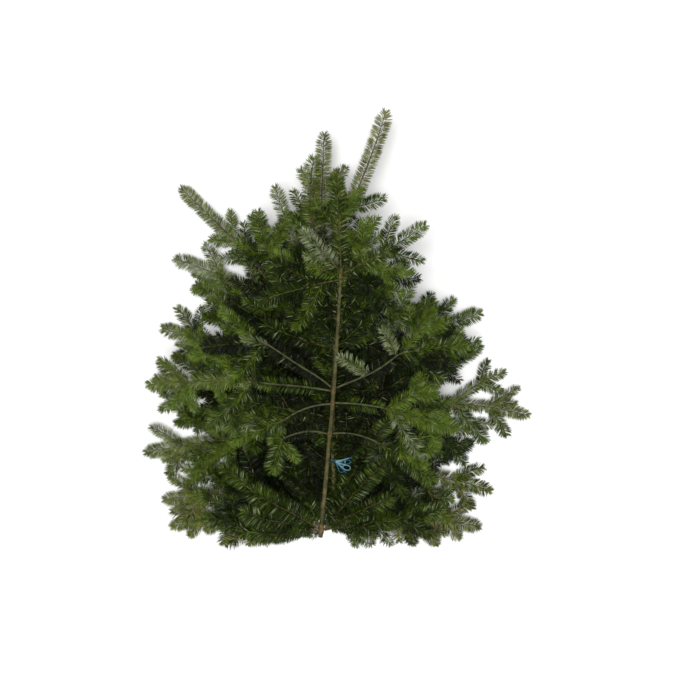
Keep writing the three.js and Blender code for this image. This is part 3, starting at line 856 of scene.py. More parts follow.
def finer_twigs(twig):
    """The side twigs of a side twig, and theirs, to the last year's shoots."""
    if twig.length < SHORTEST_FORKED or twig.order >= DEEPEST_ORDER:
        return []
    twigs = []
    s = twig.length - FINE_LAST_YEAR[twig.order] * (1 + spread(SHARE_SPREAD, *twig.key, 20))
    n = 0
    while s > FINE_FIRST_NODE:
        for hand in (-1, 1):
            key = (*twig.key, 30 + 2 * n + (hand + 1) // 2)
            if chance(*key, 1) < FINE_LEFT_OUT:
                continue
            share = FINE_SHARE * (1 + spread(FINE_SHARE_SPREAD, *key, 2))
            length = share * (twig.length - s) + FINE_EXTRA
            if length < SHORTEST_TWIG:
                continue
            at = max(6, s + hand * FINE_APART + spread(FINE_APART, *key, 3))
            angle = twig.begin + twig.turn * at / twig.length
            angle += hand * (FINE_ANGLE + spread(FINE_ANGLE_SPREAD, *key, 4))
            turn = -hand * FINE_BEND
            tilt = spread(FINE_TILT, *key, 5)
            roll = twig.roll * 0.5 + spread(FINE_ROLL, *key, 6)
            start = twig.path(at)[0]
            child = tilted_twig(twig.bough, twig.mass, start, angle, turn, length, tilt, twig.order + 1,
                                key, roll)
            if trimmed_away(child.path(length)[0], TRIM_ARCH):
                continue
            twigs.append(child)
            twigs.extend(finer_twigs(child))
        s -= FINE_YEAR[twig.order] * (1 + spread(SHARE_SPREAD, *twig.key, 21 + n))
        n += 1
    return twigs


def foot_shoots(bough):
    """The fan of long shoots at the front stem's foot, which count among its lowest limbs."""
    combs = [n for n, limb in enumerate(bough.limbs) if f"front_{limb.name}" in COMBS]
    twigs = []
    for n, (angle, length, rise) in enumerate(FOOT_SHOOTS):
        key = (bough.layer, 400 + n, 0)
        at = FOOT_SHOOTS_AT + FOOT_SHOOTS_STEP * (n % len(combs))
        start = off_stem(bough, at, angle, 0.8)
        turn = math.copysign(FOOT_SHOOT_BEND, angle)
        lift = rise + spread(FOOT_SHOOT_LIFT_SPREAD, *key, 4)
        path = arc(bough, start, angle - turn / 2, turn, length, FOOT_SHOOTS_SETTLE, lift=lift)
        roll = spread(ROLL, *key, 5)
        twigs.append(Twig(bough, combs[n % len(combs)], path, length, 0, key, roll,
                          FOOT_SHOOT_BARE, FOOT_SHOOT_BUTT, angle, turn))
    return twigs


def loose_shoots(bough):
    """The few shoots on the bare limbs of the front bough."""
    twigs = []
    for key, (name, share, angle, length) in zip(TURNED_SHOOTS, LOOSE_SHOOTS):
        index, limb = next((n, limb) for n, limb in enumerate(bough.limbs) if limb.name == name)
        start = limb.path(share * limb.length)[0]
        roll = spread(FINE_ROLL, *key, 5)
        twigs.append(tilted_twig(bough, index, start, angle, SIDE_BEND, length, LOOSE_TILT, 2, key, roll))
    return twigs


def stem_shoots(bough):
    """Short needled shoots along a stem, between its whorls."""
    front = bough.name == "front"
    twigs = []
    for n in range(int((1 if front else HIDDEN_SHOOTS_SHARE) * bough.stem / STEM_SHOOT_STEP)):
        for hand in (-1, 1):
            key = (bough.layer, 200 + n, hand + 1)
            at = STEM_SHOOT_FIRST + STEM_SHOOT_STEP * (n + 0.3 + spread(0.3, *key, 1))
            if front and at < FRONT_SHOOTS_FROM:
                continue
            length = STEM_SHOOT * (1 + spread(STEM_SHOOT_SPREAD, *key, 2))
            foot = float(smooth((FOOT_REACH - at) / FOOT_REACH))
            aside = STEM_SHOOT_ANGLE + FOOT_ANGLE * foot + spread(STEM_SHOOT_ANGLE_SPREAD, *key, 3)
            angle = heading(bough, at) + hand * aside
            turn = hand * SIDE_BEND
            start = off_stem(bough, at, angle, 0.9)
            tilt = spread(STEM_SHOOT_TILT, *key, 4) - (FRONT_SHOOT_SINK if front else STEM_SHOOT_SINK)
            roll = spread(FINE_ROLL, *key, 5)
            twig = tilted_twig(bough, 0, start, angle, turn, length, tilt, 2, key, roll)
            if trimmed_away(twig.path(length)[0], TRIM_ARCH):
                continue
            twigs.append(twig)
            twigs.extend(finer_twigs(twig))
    return twigs


def grow(bough):
    """All the needled twigs of a bough."""
    twigs = []
    for index, limb in enumerate(bough.limbs):
        solid = Solid(f"{bough.name}_needles_{limb.name}")
        lead = lead_twig(bough, limb, index, solid)
        sides = side_twigs(bough, limb, index, lead, solid)
        twigs.append(lead)
        twigs.extend(sides)
        for twig in sides:
            twigs.extend(finer_twigs(twig))
    if bough.name == "front":
        twigs.extend(loose_shoots(bough) + foot_shoots(bough))
    return twigs + stem_shoots(bough)


# Meshes

def around(sides):
    return 2 * np.pi * np.arange(sides) / sides


def following(sides):
    """Each side of a ring, and the one after it."""
    k = np.arange(sides)
    return k, (k + 1) % sides


def into_scene(name, data):
    made = bpy.data.objects.new(name, data)
    bpy.context.scene.collection.objects.link(made)
    return made


def mesh_object(name, points, faces, materials, indices, flat):
    """A mesh of triangles, from points in the growing rule's frame."""
    mesh = bpy.data.meshes.new(name)
    mesh.vertices.add(len(points))
    mesh.vertices.foreach_set("co", in_part(points).astype(np.float32).ravel())
    mesh.loops.add(faces.size)
    mesh.loops.foreach_set("vertex_index", faces.astype(np.int32).ravel())
    mesh.polygons.add(len(faces))
    mesh.polygons.foreach_set("loop_start", np.arange(0, faces.size, 3, dtype=np.int32))
    for material in materials:
        mesh.materials.append(material)
    mesh.polygons.foreach_set("material_index", np.asarray(indices, dtype=np.int32))
    mesh.polygons.foreach_set("use_smooth", np.full(len(faces), not flat))
    mesh.update(calc_edges=True)
    mesh.validate()
    piece = into_scene(name, mesh)
    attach(piece, "root")
    return piece


class Heap:
    """Many small shapes, gathered into one mesh."""

    def __init__(self):
        self.points = []
        self.faces = []
        self.tones = []
        self.count = 0

    def add(self, points, faces, tone=0):
        self.points.append(points)
        self.faces.append(np.asarray(faces) + self.count)
        self.tones.append(np.broadcast_to(tone, len(faces)))
        self.count += len(points)

    def piece(self, name, materials, flat=False):
        points = np.concatenate(self.points)
        faces = np.concatenate(self.faces)
        return mesh_object(name, points, faces, materials, np.concatenate(self.tones), flat)


def closed_tube(path, length, stations, radii, sides):
    """A tube along a path, as triangles, with a point in the middle of each end."""
    at, _, right, above = frames(path, stations, length)
    radii = np.broadcast_to(np.asarray(radii, float).reshape(len(stations), -1), (len(stations), sides))
    sheath = (at[:, None] + ring(right, above, around(sides)) * radii[:, :, None]).reshape(-1, 3)
    rows = np.arange(len(stations) - 1)[:, None] * sides
    k, after = following(sides)
    quads = np.stack([rows + k, rows + k + sides, rows + after + sides, rows + after], axis=-1)
    quads = quads.reshape(-1, 4)
    last = (len(stations) - 1) * sides
    near = np.stack([np.full(sides, len(sheath)), k, after], axis=1)
    far = np.stack([np.full(sides, len(sheath) + 1), last + after, last + k], axis=1)
    faces = np.concatenate([quads[:, [0, 1, 2]], quads[:, [0, 2, 3]], near, far])
    return np.concatenate([sheath, path([stations[0], stations[-1]])]), faces


# Needles

def limb_of(twig):
    return f"{twig.bough.name}_{twig.bough.limbs[twig.mass].name}"


def needles_on(twig, begin, end, per_mm, size, heap, radius=None, top_share=TOP_SHARE, shade_steps=0):
    """The needles of one twig, laid out in one go: at both sides and over its top, like a brush."""
    rng = seeded(*twig.key, 50, int(begin))
    count = int((end - begin) * per_mm)
    if count < 2:
        return
    s = begin + (end - begin) * (np.arange(count) + rng.random(count)) / count
    at, along, right, above = frames(twig.path, s, twig.length, twig.roll)
    side = np.where(rng.random(count) < 0.5, 1.0, -1.0)
    comb = limb_of(twig) in COMBS and twig.order == 0
    top = rng.random(count) < top_share
    low_lift = COMB_LIFT if comb else SIDE_LIFT
    lift = np.where(top, rng.uniform(*TOP_LIFT, count), rng.uniform(*low_lift, count))
    upper = tone_of(twig, s / twig.length, lift, shade_steps, rng)
    wider = 0
    if twig.order == 0:
        wider = LIT_OLIVE_WIDER if limb_of(twig) in LIT_OLIVE_LIMBS else LEAD_WIDER
    forward = wider + np.where(top, rng.uniform(*TOP_FORWARD, count), rng.uniform(*SIDE_FORWARD, count))
    near_tip = smooth((s - (twig.length - NEAR_TIP)) / NEAR_TIP)
    root_length, root_shorter = COMB_ROOT if comb else TWIG_ROOT
    near_root = smooth((begin + root_length - s) / root_length)
    forward = mix(forward, rng.uniform(*TIP_FORWARD, count), near_tip)
    from_tie = np.hypot(at[:, 0] - TIE_X, at[:, 1] - TIE_Y)
    outer = smooth((from_tie - NEEDLE_INNER_REACH) / (NEEDLE_OUTER_REACH - NEEDLE_INNER_REACH))
    reach = size * mix(NEEDLE_INNER, NEEDLE_OUTER, outer)
    reach = reach * np.where(top, rng.uniform(*TOP_REACH, count), rng.uniform(*SIDE_REACH, count))
    reach *= 1 - TIP_SHORTER * near_tip - root_shorter * near_root
    lift = np.radians(lift)[:, None]
    forward = np.radians(forward)[:, None]
    out = right * (side[:, None] * np.cos(lift)) + above * np.sin(lift)
    aimed = unit(along * np.cos(forward) + out * np.sin(forward))
    up = above + out * BLADE_LEAN + rng.normal(0, COMB_TWIST if comb else NEEDLE_TWIST, (count, 3))
    up[rng.random(count) < turned_over(twig)] *= -1
    up = unit(up - aimed * np.sum(up * aimed, axis=1, keepdims=True))
    wide = np.cross(aimed, up)
    root = at + out * (ROOT_OUT if radius is None else ROOT_IN_BARK * radius(s)[:, None])
    reach = reach[:, None]
    half = NEEDLE_HALF * rng.uniform(*HALF_RANGE, (count, 1))
    middle = root + aimed * reach * NEEDLE_WIDEST - up * NEEDLE_FOLD
    tip = root + aimed * reach + up * rng.uniform(*TIP_CURVE, (count, 1)) * reach
    points = np.stack([root, middle - wide * half, middle + wide * half, tip], axis=1)
    points[..., 2] = np.maximum(points[..., 2], LEAST_Z)
    faces = np.array([[0, 2, 3], [0, 3, 1], [0, 1, 2], [3, 2, 1]]) + 4 * np.arange(count)[:, None, None]
    # Undersides of dark needles are mostly painted in shade.
    lower = np.where((upper <= DARK) & (rng.random(count) < SHADED_SHARE), SHADED, PALE)
    tones = np.stack([upper, upper, lower, lower], axis=1)
    heap.add(points.reshape(-1, 3), faces.reshape(-1, 3), tones.ravel())


def edge_share(twig):
    """How near a twig ends to the bunch's outline: 0 at the tie and about 1 at the outermost tips."""
    x, y = twig.path(twig.length)[0, :2]
    ahead = (y - TIE_Y) / (REACH_AHEAD if y > TIE_Y else REACH_BACK)
    return math.hypot((x - TIE_X) / REACH_ASIDE, ahead)


def turned_over(twig):
    """The share of a twig's needles that show their undersides."""
    if limb_of(twig) in TURNED_LIMBS and twig.order <= 1:
        return TURNED_LEAD if twig.order == 0 else TURNED_SIDE
    if limb_of(twig) in COMBS:
        return LEAST_TURNED
    if twig.key in TURNED_SHOOTS or chance(*twig.key, 62) < TURNED_CHANCE:
        return TURNED_SHOOT
    x, y, _ = twig.path(twig.length)[0]
    outer = float(smooth((edge_share(twig) - OUTERMOST_SPRAY) / PALE_OVER))
    upper = float(smooth((y - PALE_FROM_Y) / PALE_OVER_Y))
    return LEAST_TURNED + (PALE_LEFT if x < TIE_X else PALE_RIGHT) * outer * upper


def tone_of(twig, share, lift, shade_steps, rng):
    """A tone for a whole spray, fresher at each twig's tip, painted lighter on its top and in shade at its
    sides.
    """
    comb = limb_of(twig) in COMBS
    # Lower layers are darker: painted shade from the layers above.
    steps = np.cumsum(TONE_SHARES[twig.bough.layer])
    tone = int(np.searchsorted(steps, chance(*twig.key[:3], 60) * 0.999))
    # Listed sprays are a tone lighter or darker; the lighter ones on the left are painted light.
    tone += (limb_of(twig) in LIGHTER_LIMBS) - (limb_of(twig) in DARKER_LIMBS)
    if twig.order > 1:
        own = chance(*twig.key, 63)
        tone += int(own > 1 - TWIG_FRESHER) - int(own < TWIG_DULLER)
    edge = edge_share(twig)
    # Outer sprays are painted in the light; inner ones below the front bough are painted a tone darker as
    # shade.
    if edge > OUTER_SPRAY:
        # Painted light: outermost sprays are often a tone lighter, more so on the left.
        lit_chance = LIT_LEFT if twig.path(twig.length)[0, 0] < TIE_X else LIT_RIGHT
        tone = max(tone, MID) + int(edge > OUTERMOST_SPRAY and chance(*twig.key, 64) < lit_chance)
    elif edge < INNER_SPRAY and twig.bough.name != "front":
        tone -= 1
    # A comb's lead is dark and its side twigs no lighter: painted shade, against which the comb stands out.
    if comb:
        tone = DARK if twig.order == 0 else min(tone, DARK)
    tone = min(FRESH, max(DEEP, tone - shade_steps))
    count = len(share)
    drift = rng.random(count)
    # On a comb's lead many needles are a tone lighter as painted highlights; elsewhere a needle drifts at
    # random.
    lighter_chance = COMB_PAINTED_HIGHLIGHT if comb and twig.order == 0 else NEEDLE_DRIFT
    tones = tone + (drift > 1 - lighter_chance) - (drift < NEEDLE_DRIFT).astype(int)
    tones += (share > LAST_YEAR_FROM) & (rng.random(count) < LAST_YEAR_FRESHER)
    # Needles over a twig's top are painted lighter, as lit from above; those low at its sides are painted in
    # shade.
    tones += (lift > HIGH_LIFT) & (rng.random(count) < HIGH_PAINTED_LIGHT)
    tones -= (lift < LOW_LIFT) & (rng.random(count) < LOW_PAINTED_SHADE)
    tones = np.clip(tones, DEEP, FRESH)
    # Olive needles at the outermost tips paint the light that shines through them.
    lit_olive = LIT_OLIVE_LIMBS.get(limb_of(twig), LIT_OLIVE_SHARE) * smooth((edge - LIT_OLIVE_FROM) / LIT_OLIVE_OVER)
    return np.where(rng.random(count) < lit_olive, LIT_OLIVE, tones)


# Bark

def relief(stations, sides, key):
    """Low ridges and needle scars on bark, as a share of the radius, for each point of a tube."""
    rng = seeded(*key, 70)
    turns = around(sides)
    s = stations[:, None]
    height = np.zeros((len(stations), sides))
    for _ in range(RIDGES):
        waves_round = rng.integers(0, 4)
        length = rng.uniform(*RIDGE_LENGTH)
        height += RIDGE_HEIGHT * np.cos(waves_round * turns + 2 * np.pi * (s / length + rng.random()))
    for _ in range(int(stations[-1] / SCAR_STEP)):
        at = rng.uniform(0, stations[-1])
        angle = rng.uniform(0, 2 * np.pi)
        away = np.angle(np.exp(1j * (turns - angle)))
        height += SCAR_HEIGHT * np.exp(-((s - at) / SCAR_HALF) ** 2 - (away / SCAR_TURN) ** 2)
    return height


def bark_mesh(name, path, length, radius_at, sides, materials, key, whorls=(), cut=False):
    """A stem or limb with the relief of its bark, cut square at a stem's foot, and browner at its whorls."""
    stations = np.append(np.arange(0, length, BARK_STEP), length)
    radii = radius_at(stations)[:, None] * (1 + relief(stations, sides, key) - 0.03)
    pith = np.zeros((len(stations), sides))
    rings = 0
    if cut:
        shares = np.array(CUT_RINGS)[:, None]
        rings = len(shares)
        radii = np.concatenate([shares * radii[0], radii])
        stations = np.concatenate([np.zeros(rings), stations])
        pith = np.concatenate([shares * np.ones(sides), np.ones_like(pith)])
    points, faces = closed_tube(path, length, stations, radii, sides)
    quads = sides * (len(stations) - 1)
    cells = np.arange(quads)
    tones = np.zeros(len(faces), int)
    place = stations[cells // sides]
    for whorl in whorls:
        # The edge of a whorl's browner bark is uneven.
        tones[:quads][abs(place - whorl) < WHORL_HALF * (0.7 + 0.3 * np.cos(2.4 * cells))] = 2
    if cut:
        tones[:quads][cells < sides * rings] = 1
        tones[2 * quads:2 * quads + sides] = 1
    tones[quads:2 * quads] = tones[:quads]
    piece = mesh_object(name, points, faces, materials, tones, False)
    attribute = piece.data.attributes.new("from_pith", "FLOAT", "POINT")
    attribute.data.foreach_set("value", np.append(pith.ravel(), [0, 1]).astype(np.float32))
    return piece


# Materials

def linear(hex_colour):
    """An sRGB hex colour as linear light."""
    channels = [((hex_colour >> shift) & 255) / 255 for shift in (16, 8, 0)]
    return (*[c / 12.92 if c <= 0.04045 else ((c + 0.055) / 1.055) ** 2.4 for c in channels], 1)


def cells_of(size):
    """The scale of a pattern, in cells to the metre, from the size of one cell in millimetres."""
    return 1000 / size


def blank(name):
    material = bpy.data.materials.new(name)
    material.use_nodes = True
    material.node_tree.nodes.clear()
    return material


def add(material, kind, settings=None, stops=(), **inputs):
    """Adds a node with its settings and links, and a colour ramp's stops: their places and colours.

    An input is a value, or a pair of a node and its output's name. An underscore and a number stand for an
    input by its place.
    """
    tree = material.node_tree
    made = tree.nodes.new(kind)
    for name, value in (settings or {}).items():
        setattr(made, name, value)
    for n, (position, colour) in enumerate(stops):
        made.color_ramp.elements[n].position = position
        made.color_ramp.elements[n].color = linear(colour)
    for name, value in inputs.items():
        socket = made.inputs[int(name[1:])] if name[0] == "_" else made.inputs[name.replace("_", " ")]
        if isinstance(value, tuple) and isinstance(value[0], bpy.types.Node):
            tree.links.new(value[0].outputs[value[1]], socket)
        else:
            socket.default_value = value
    return made


def fir_needle(name, dull, bright, roughness):
    """A needle's cuticle: a smooth wax over green, which gives soft, broad highlights and uneven tints."""
    material = blank(name)
    place = add(material, "ShaderNodeTexCoord")
    # Tints change over about a needle's length.
    tint = add(material, "ShaderNodeTexNoise", Vector=(place, "Object"), Scale=cells_of(NEEDLE_TINT),
               Detail=3.0)
    colour = add(material, "ShaderNodeValToRGB", stops=((0.32, dull), (0.68, bright)), Fac=(tint, "Fac"))
    # The groove along each needle is too fine to show, so its bump is drawn 2 mm coarse.
    groove = add(material, "ShaderNodeTexNoise", Vector=(place, "Object"), Scale=cells_of(NEEDLE_GROOVE),
                 Detail=2.0)
    bump = add(material, "ShaderNodeBump", Height=(groove, "Fac"), Strength=0.25, Distance=0.0004)
    shader = add(material, "ShaderNodeBsdfPrincipled", Base_Color=(colour, "Color"), Normal=(bump, "Normal"),
                 Roughness=roughness, IOR=1.45, Specular_IOR_Level=0.16)
    add(material, "ShaderNodeOutputMaterial", Surface=(shader, "BSDF"))
    return material


def fir_bark(name, hollow, ridge, lichen, ridge_size):
    """Young fir bark: thin, matt and olive to grey-brown, with resin blisters and paler flecks."""
    material = blank(name)
    place = add(material, "ShaderNodeTexCoord")
    broad = add(material, "ShaderNodeTexNoise", Vector=(place, "Object"), Scale=cells_of(ridge_size),
                Detail=5.0)
    colour = add(material, "ShaderNodeValToRGB", stops=((0.36, hollow), (0.64, ridge)), Fac=(broad, "Fac"))
    # Flecks of lichen and dry skin.
    fleck = add(material, "ShaderNodeTexVoronoi", Vector=(place, "Object"), Scale=cells_of(BARK_FLECK))
    spots = add(material, "ShaderNodeMapRange", Value=(fleck, "Distance"), From_Min=0.16, From_Max=0.3,
                To_Min=0.55, To_Max=0.0)
    mixed = add(material, "ShaderNodeMix", {"data_type": "RGBA"}, Factor=(spots, "Result"),
                _6=(colour, "Color"), _7=linear(lichen))
    # The fine cracks of the skin are under a millimetre apart, and are drawn a little coarser to show.
    fine = add(material, "ShaderNodeTexNoise", Vector=(place, "Object"), Scale=cells_of(BARK_CRACK),
               Detail=4.0)
    bump = add(material, "ShaderNodeBump", Height=(fine, "Fac"), Strength=0.7, Distance=0.0008)
    shader = add(material, "ShaderNodeBsdfPrincipled", Base_Color=(mixed, "Result"),
                 Normal=(bump, "Normal"), Roughness=0.78, IOR=1.5)
    add(material, "ShaderNodeOutputMaterial", Surface=(shader, "BSDF"))
    return material


def cut_fir_wood():
    """Sawn softwood across the grain: pale, with darker yearly rings and a darker pith and rim."""
    material = blank("sawn_fir_wood")
    pith = add(material, "ShaderNodeAttribute", {"attribute_name": "from_pith"})
    place = add(material, "ShaderNodeTexCoord")
    stray = add(material, "ShaderNodeTexNoise", Vector=(place, "Object"), Scale=cells_of(RING_WAVE))
    # Eight yearly rings from the pith to the rim, a little wavy: a sine over 50 radians.
    rings = add(material, "ShaderNodeMath", {"operation": "MULTIPLY_ADD"}, _0=(pith, "Fac"), _1=50.0,
                _2=(stray, "Fac"))
    wave = add(material, "ShaderNodeMath", {"operation": "SINE"}, _0=(rings, "Value"))
    colour = add(material, "ShaderNodeValToRGB", stops=((0.0, 0xB08C68), (1.0, 0x8C6A4C)),
                 Fac=(wave, "Value"))
    rim = add(material, "ShaderNodeMapRange", Value=(pith, "Fac"), From_Min=0.82, From_Max=0.97,
              To_Min=0.0, To_Max=0.85)
    mixed = add(material, "ShaderNodeMix", {"data_type": "RGBA"}, Factor=(rim, "Result"),
                _6=(colour, "Color"), _7=linear(0x5A4230))
    shader = add(material, "ShaderNodeBsdfPrincipled", Base_Color=(mixed, "Result"), Roughness=0.82)
    add(material, "ShaderNodeOutputMaterial", Surface=(shader, "BSDF"))
    return material


def polypropylene(name, dark, light):
    """Drawn polypropylene twine: flat shiny fibres, laid together in a loose twist."""
    material = blank(name)
    place = add(material, "ShaderNodeTexCoord")
    # The split fibres are too fine to show, so they are drawn a millimetre wide.
    fibres = add(material, "ShaderNodeTexNoise", Vector=(place, "Object"), Scale=cells_of(TWINE_FIBRE),
                 Detail=3.0)
    colour = add(material, "ShaderNodeValToRGB", stops=((0.35, dark), (0.65, light)), Fac=(fibres, "Fac"))
    bump = add(material, "ShaderNodeBump", Height=(fibres, "Fac"), Strength=0.6, Distance=0.0005)
    shader = add(material, "ShaderNodeBsdfPrincipled", Base_Color=(colour, "Color"), Normal=(bump, "Normal"),
                 Roughness=0.38, IOR=1.49)
    add(material, "ShaderNodeOutputMaterial", Surface=(shader, "BSDF"))
    return material


def matt_paper():
    """Uncoated white paper, pressed matt: it gives the eye no gloss, only soft shadows."""
    material = blank("matt_paper")
    place = add(material, "ShaderNodeTexCoord")
    # The paper's tooth is too fine to show, so it is drawn 2.5 mm coarse.
    tooth = add(material, "ShaderNodeTexNoise", Vector=(place, "Object"), Scale=cells_of(PAPER_TOOTH),
                Detail=2.0)
    bump = add(material, "ShaderNodeBump", Height=(tooth, "Fac"), Strength=0.05, Distance=0.0005)
    shader = add(material, "ShaderNodeBsdfPrincipled", Base_Color=linear(0xF7F7F6),
                 Normal=(bump, "Normal"), Roughness=0.9)
    add(material, "ShaderNodeOutputMaterial", Surface=(shader, "BSDF"))
    return material


# Needles from the deepest painted shade, through old needles' dark green partly in painted shade, to this
# year's; their pale undersides and undersides in painted shade; olive ones with painted light shining
# through.
NEEDLE_TONES = [
    fir_needle("fir_needle_deep_painted_shade", 0x080C05, 0x111707, 0.5),
    fir_needle("fir_needle_dark", 0x111A06, 0x1F2B09, 0.44),
    fir_needle("fir_needle_mid", 0x223008, 0x394C0E, 0.38),
    fir_needle("fir_needle_fresh", 0x405414, 0x647928, 0.36),
    fir_needle("fir_needle_underside", 0x5A6346, 0x929A78, 0.5),
    fir_needle("fir_needle_sunned", 0x565428, 0x88844C, 0.42),
    fir_needle("fir_needle_shaded_underside", 0x1E2616, 0x343E24, 0.5),
]

# Bark with its ridges this many millimetres apart, closer on thinner wood.
STEM_BARK = fir_bark("fir_stem_bark", 0x38361A, 0x5C572C, 0x706C48, 16.7)
WHORL_BARK = fir_bark("fir_whorl_bark", 0x45381D, 0x6E5A32, 0x7C7048, 11.1)
LIMB_BARK = fir_bark("fir_limb_bark", 0x30331A, 0x4C4F28, 0x5E6040, 12.5)
TWIG_BARK = fir_bark("fir_twig_bark", 0x3D361C, 0x5A4D29, 0x655B3B, 8.33)
BUD_SCALES = fir_bark("fir_bud_scales", 0x46301C, 0x705236, 0x806A4A, 3.85)
CUT_WOOD = cut_fir_wood()
TWINE_BLUE = polypropylene("blue_polypropylene", 0x123F52, 0x2C6E86)
TWINE_PALE = polypropylene("pale_polypropylene", 0x4C7E8C, 0x8CB2BA)


# The boughs' pieces

def bare_stem(bough):
    stem = bark_mesh(f"{bough.name}_stem_bark", bough.path, bough.stem, lambda s: stem_radius(bough, s),
                     BARK_SIDES, [STEM_BARK, CUT_WOOD, WHORL_BARK], (bough.layer, 90),
                     [limb.at for limb in bough.limbs if limb.at < bough.stem], cut=True)
    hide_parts(f"{bough.name}_stem")


def bare_limb_bark(bough, index, limb):
    def radius_at(s):
        return mix(LIMB_BUTT, LIMB_TIP, s / limb.length)

    bark = bark_mesh(f"{bough.name}_{limb.name}_bark", limb.path, limb.length, radius_at,
                     LIMB_SIDES, [LIMB_BARK], (bough.layer, 91, index))
    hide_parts(f"{bough.name}_limb_{limb.name}")


def twig_bark(twig, heap):
    stations = np.linspace(0, twig.length, max(3, round(twig.length / TWIG_STEP) + 1))
    radii = mix(twig.butt, TWIG_TIP, stations / twig.length)
    points, faces = closed_tube(twig.path, twig.length, stations, radii, TWIG_SIDES)
    points[:, 2] = np.maximum(points[:, 2], LEAST_BARK_Z)
    heap.add(points, faces)


def buds(twig, heap):
    """A large bud at a twig's end, and two small ones beside it."""
    end, along, right, above = frames(twig.path, twig.length, twig.length)
    for side, size in ((0, 1), (-1, SIDE_BUD), (1, SIDE_BUD)):
        aimed = unit(along + right * 0.75 * side)
        start = end + right * side * 1.2 - along * 1.5
        flank = unit(np.cross(aimed, above))
        flanks = ring(flank, np.cross(flank, aimed), around(BUD_SIDES))[0] * BUD_HALF * size
        middle = start + aimed * BUD_LENGTH * size * BUD_WIDEST + flanks
        points = np.concatenate([start, middle, start + aimed * BUD_LENGTH * size])
        points[:, 2] = np.maximum(points[:, 2], LEAST_Z)
        k, after = following(BUD_SIDES)
        near = np.stack([0 * k, 1 + after, 1 + k], axis=1)
        far = np.stack([0 * k + 1 + BUD_SIDES, 1 + k, 1 + after], axis=1)
        heap.add(points, np.concatenate([near, far]))


def needled_twig(twig, heap):
    """A twig's needles: denser at the last growth of a lead, and all along a comb."""
    size = (1 - 0.05 * twig.order) * (1 + spread(0.06, *twig.key, 61))
    comb = limb_of(twig) in COMBS
    if comb:
        size *= COMB_LIMB_SIZE
    end = twig.length - 1
    if twig.order > 0:
        needles_on(twig, twig.bare, end, NEEDLES_PER_MM, size, heap)
    elif comb:
        needles_on(twig, COMB_BARE, end, COMB_NEEDLES_PER_MM, COMB_SIZE * size, heap,
                   top_share=COMB_TOP_SHARE)
    else:
        leader = max(twig.bare, twig.length - LEADER_FROM_TIP)
        if twig.bough.limbs[twig.mass].name.startswith("tip"):
            leader = twig.bare
        needles_on(twig, twig.bare, leader, NEEDLES_PER_MM, size, heap)
        needles_on(twig, leader, end, LEADER_NEEDLES_PER_MM, LEADER_SIZE * size, heap,
                   top_share=LEADER_TOP_SHARE)


def limb_needles(bough, index, limb, heap):
    """The few needles left along the sides of a bare limb."""
    twig = Twig(bough, index, limb.path, limb.length, 0, (bough.layer, 93, index))
    begin, per_mm, size = LIMB_NEEDLES
    # These needles are two tones darker: painted shade.
    needles_on(twig, begin * limb.length, limb.length, per_mm, size, heap,
               lambda s: np.full(len(s), LIMB_TIP), LIMB_TOP_SHARE, shade_steps=2)


def stem_needles(bough, heap):
    """The needles that a stem still carries: up the front one's youngest part, and all along the others."""
    stem = Twig(bough, 0, bough.path, bough.stem, 0, (bough.layer, 92))
    front = bough.name == "front"
    for begin, end, per_mm, size in FRONT_STEM_NEEDLES if front else HIDDEN_STEM_NEEDLES:
        needles_on(stem, begin, min(end, bough.stem), per_mm, size, heap,
                   lambda s: stem_radius(bough, s), TOP_SHARE if front else HIDDEN_TOP_SHARE)


def dress(bough):
    """The stem, limbs, twigs, buds and needles of a bough."""
    bare_stem(bough)
    twigs = grow(bough)
    for index, limb in enumerate(bough.limbs):
        if limb.elbow:
            bare_limb_bark(bough, index, limb)
    bark = Heap()
    tips = Heap()
    for twig in twigs:
        twig_bark(twig, bark)
        buds(twig, tips)
    bark.piece(f"{bough.name}_twigs", [TWIG_BARK])
    tips.piece(f"{bough.name}_buds", [BUD_SCALES])
    pieces = [(Heap(), [])]
    stem_needles(bough, pieces[0][0])
    for index, limb in enumerate(bough.limbs):
        if pieces[-1][0].count > 4 * FULL_PIECE:
            pieces.append((Heap(), []))
        heap, nodes = pieces[-1]
        nodes.append(f"{bough.name}_needles_{limb.name}")
        if limb.elbow:
            limb_needles(bough, index, limb, heap)
        for twig in twigs:
            if twig.mass == index:
                needled_twig(twig, heap)
    for number, (heap, nodes) in enumerate(pieces, 1):
        piece = heap.piece(f"{bough.name}_needles_{number}", NEEDLE_TONES, flat=True)
        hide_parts(*nodes)


# Twine

def strand(points, radius, sides=9, lobes=3):
    """A twisted strand of twine along a row of points, with its fibres' lay as low ridges."""
    points = np.asarray(points, float)
    steps = np.linalg.norm(np.diff(points, axis=0), axis=1)
    marks = np.concatenate([[0], np.cumsum(steps)])
    length = marks[-1]
    stations = np.linspace(0, length, max(4, round(length / TWINE_STEP)))

    def path(s):
        s = np.atleast_1d(s)
        return np.stack([np.interp(s, marks, points[:, axis]) for axis in range(3)], axis=1)

    lay = lobes * (around(sides)[None, :] + 2 * np.pi * stations[:, None] / (TWINE_TWIST * lobes))
    ends = np.minimum(1, np.minimum(stations, length - stations) / TWINE_STEP + 0.45)
    radii = radius * (1 + TWINE_RIDGE * np.cos(lay)) * ends[:, None]
    return closed_tube(path, length, stations, radii, sides)


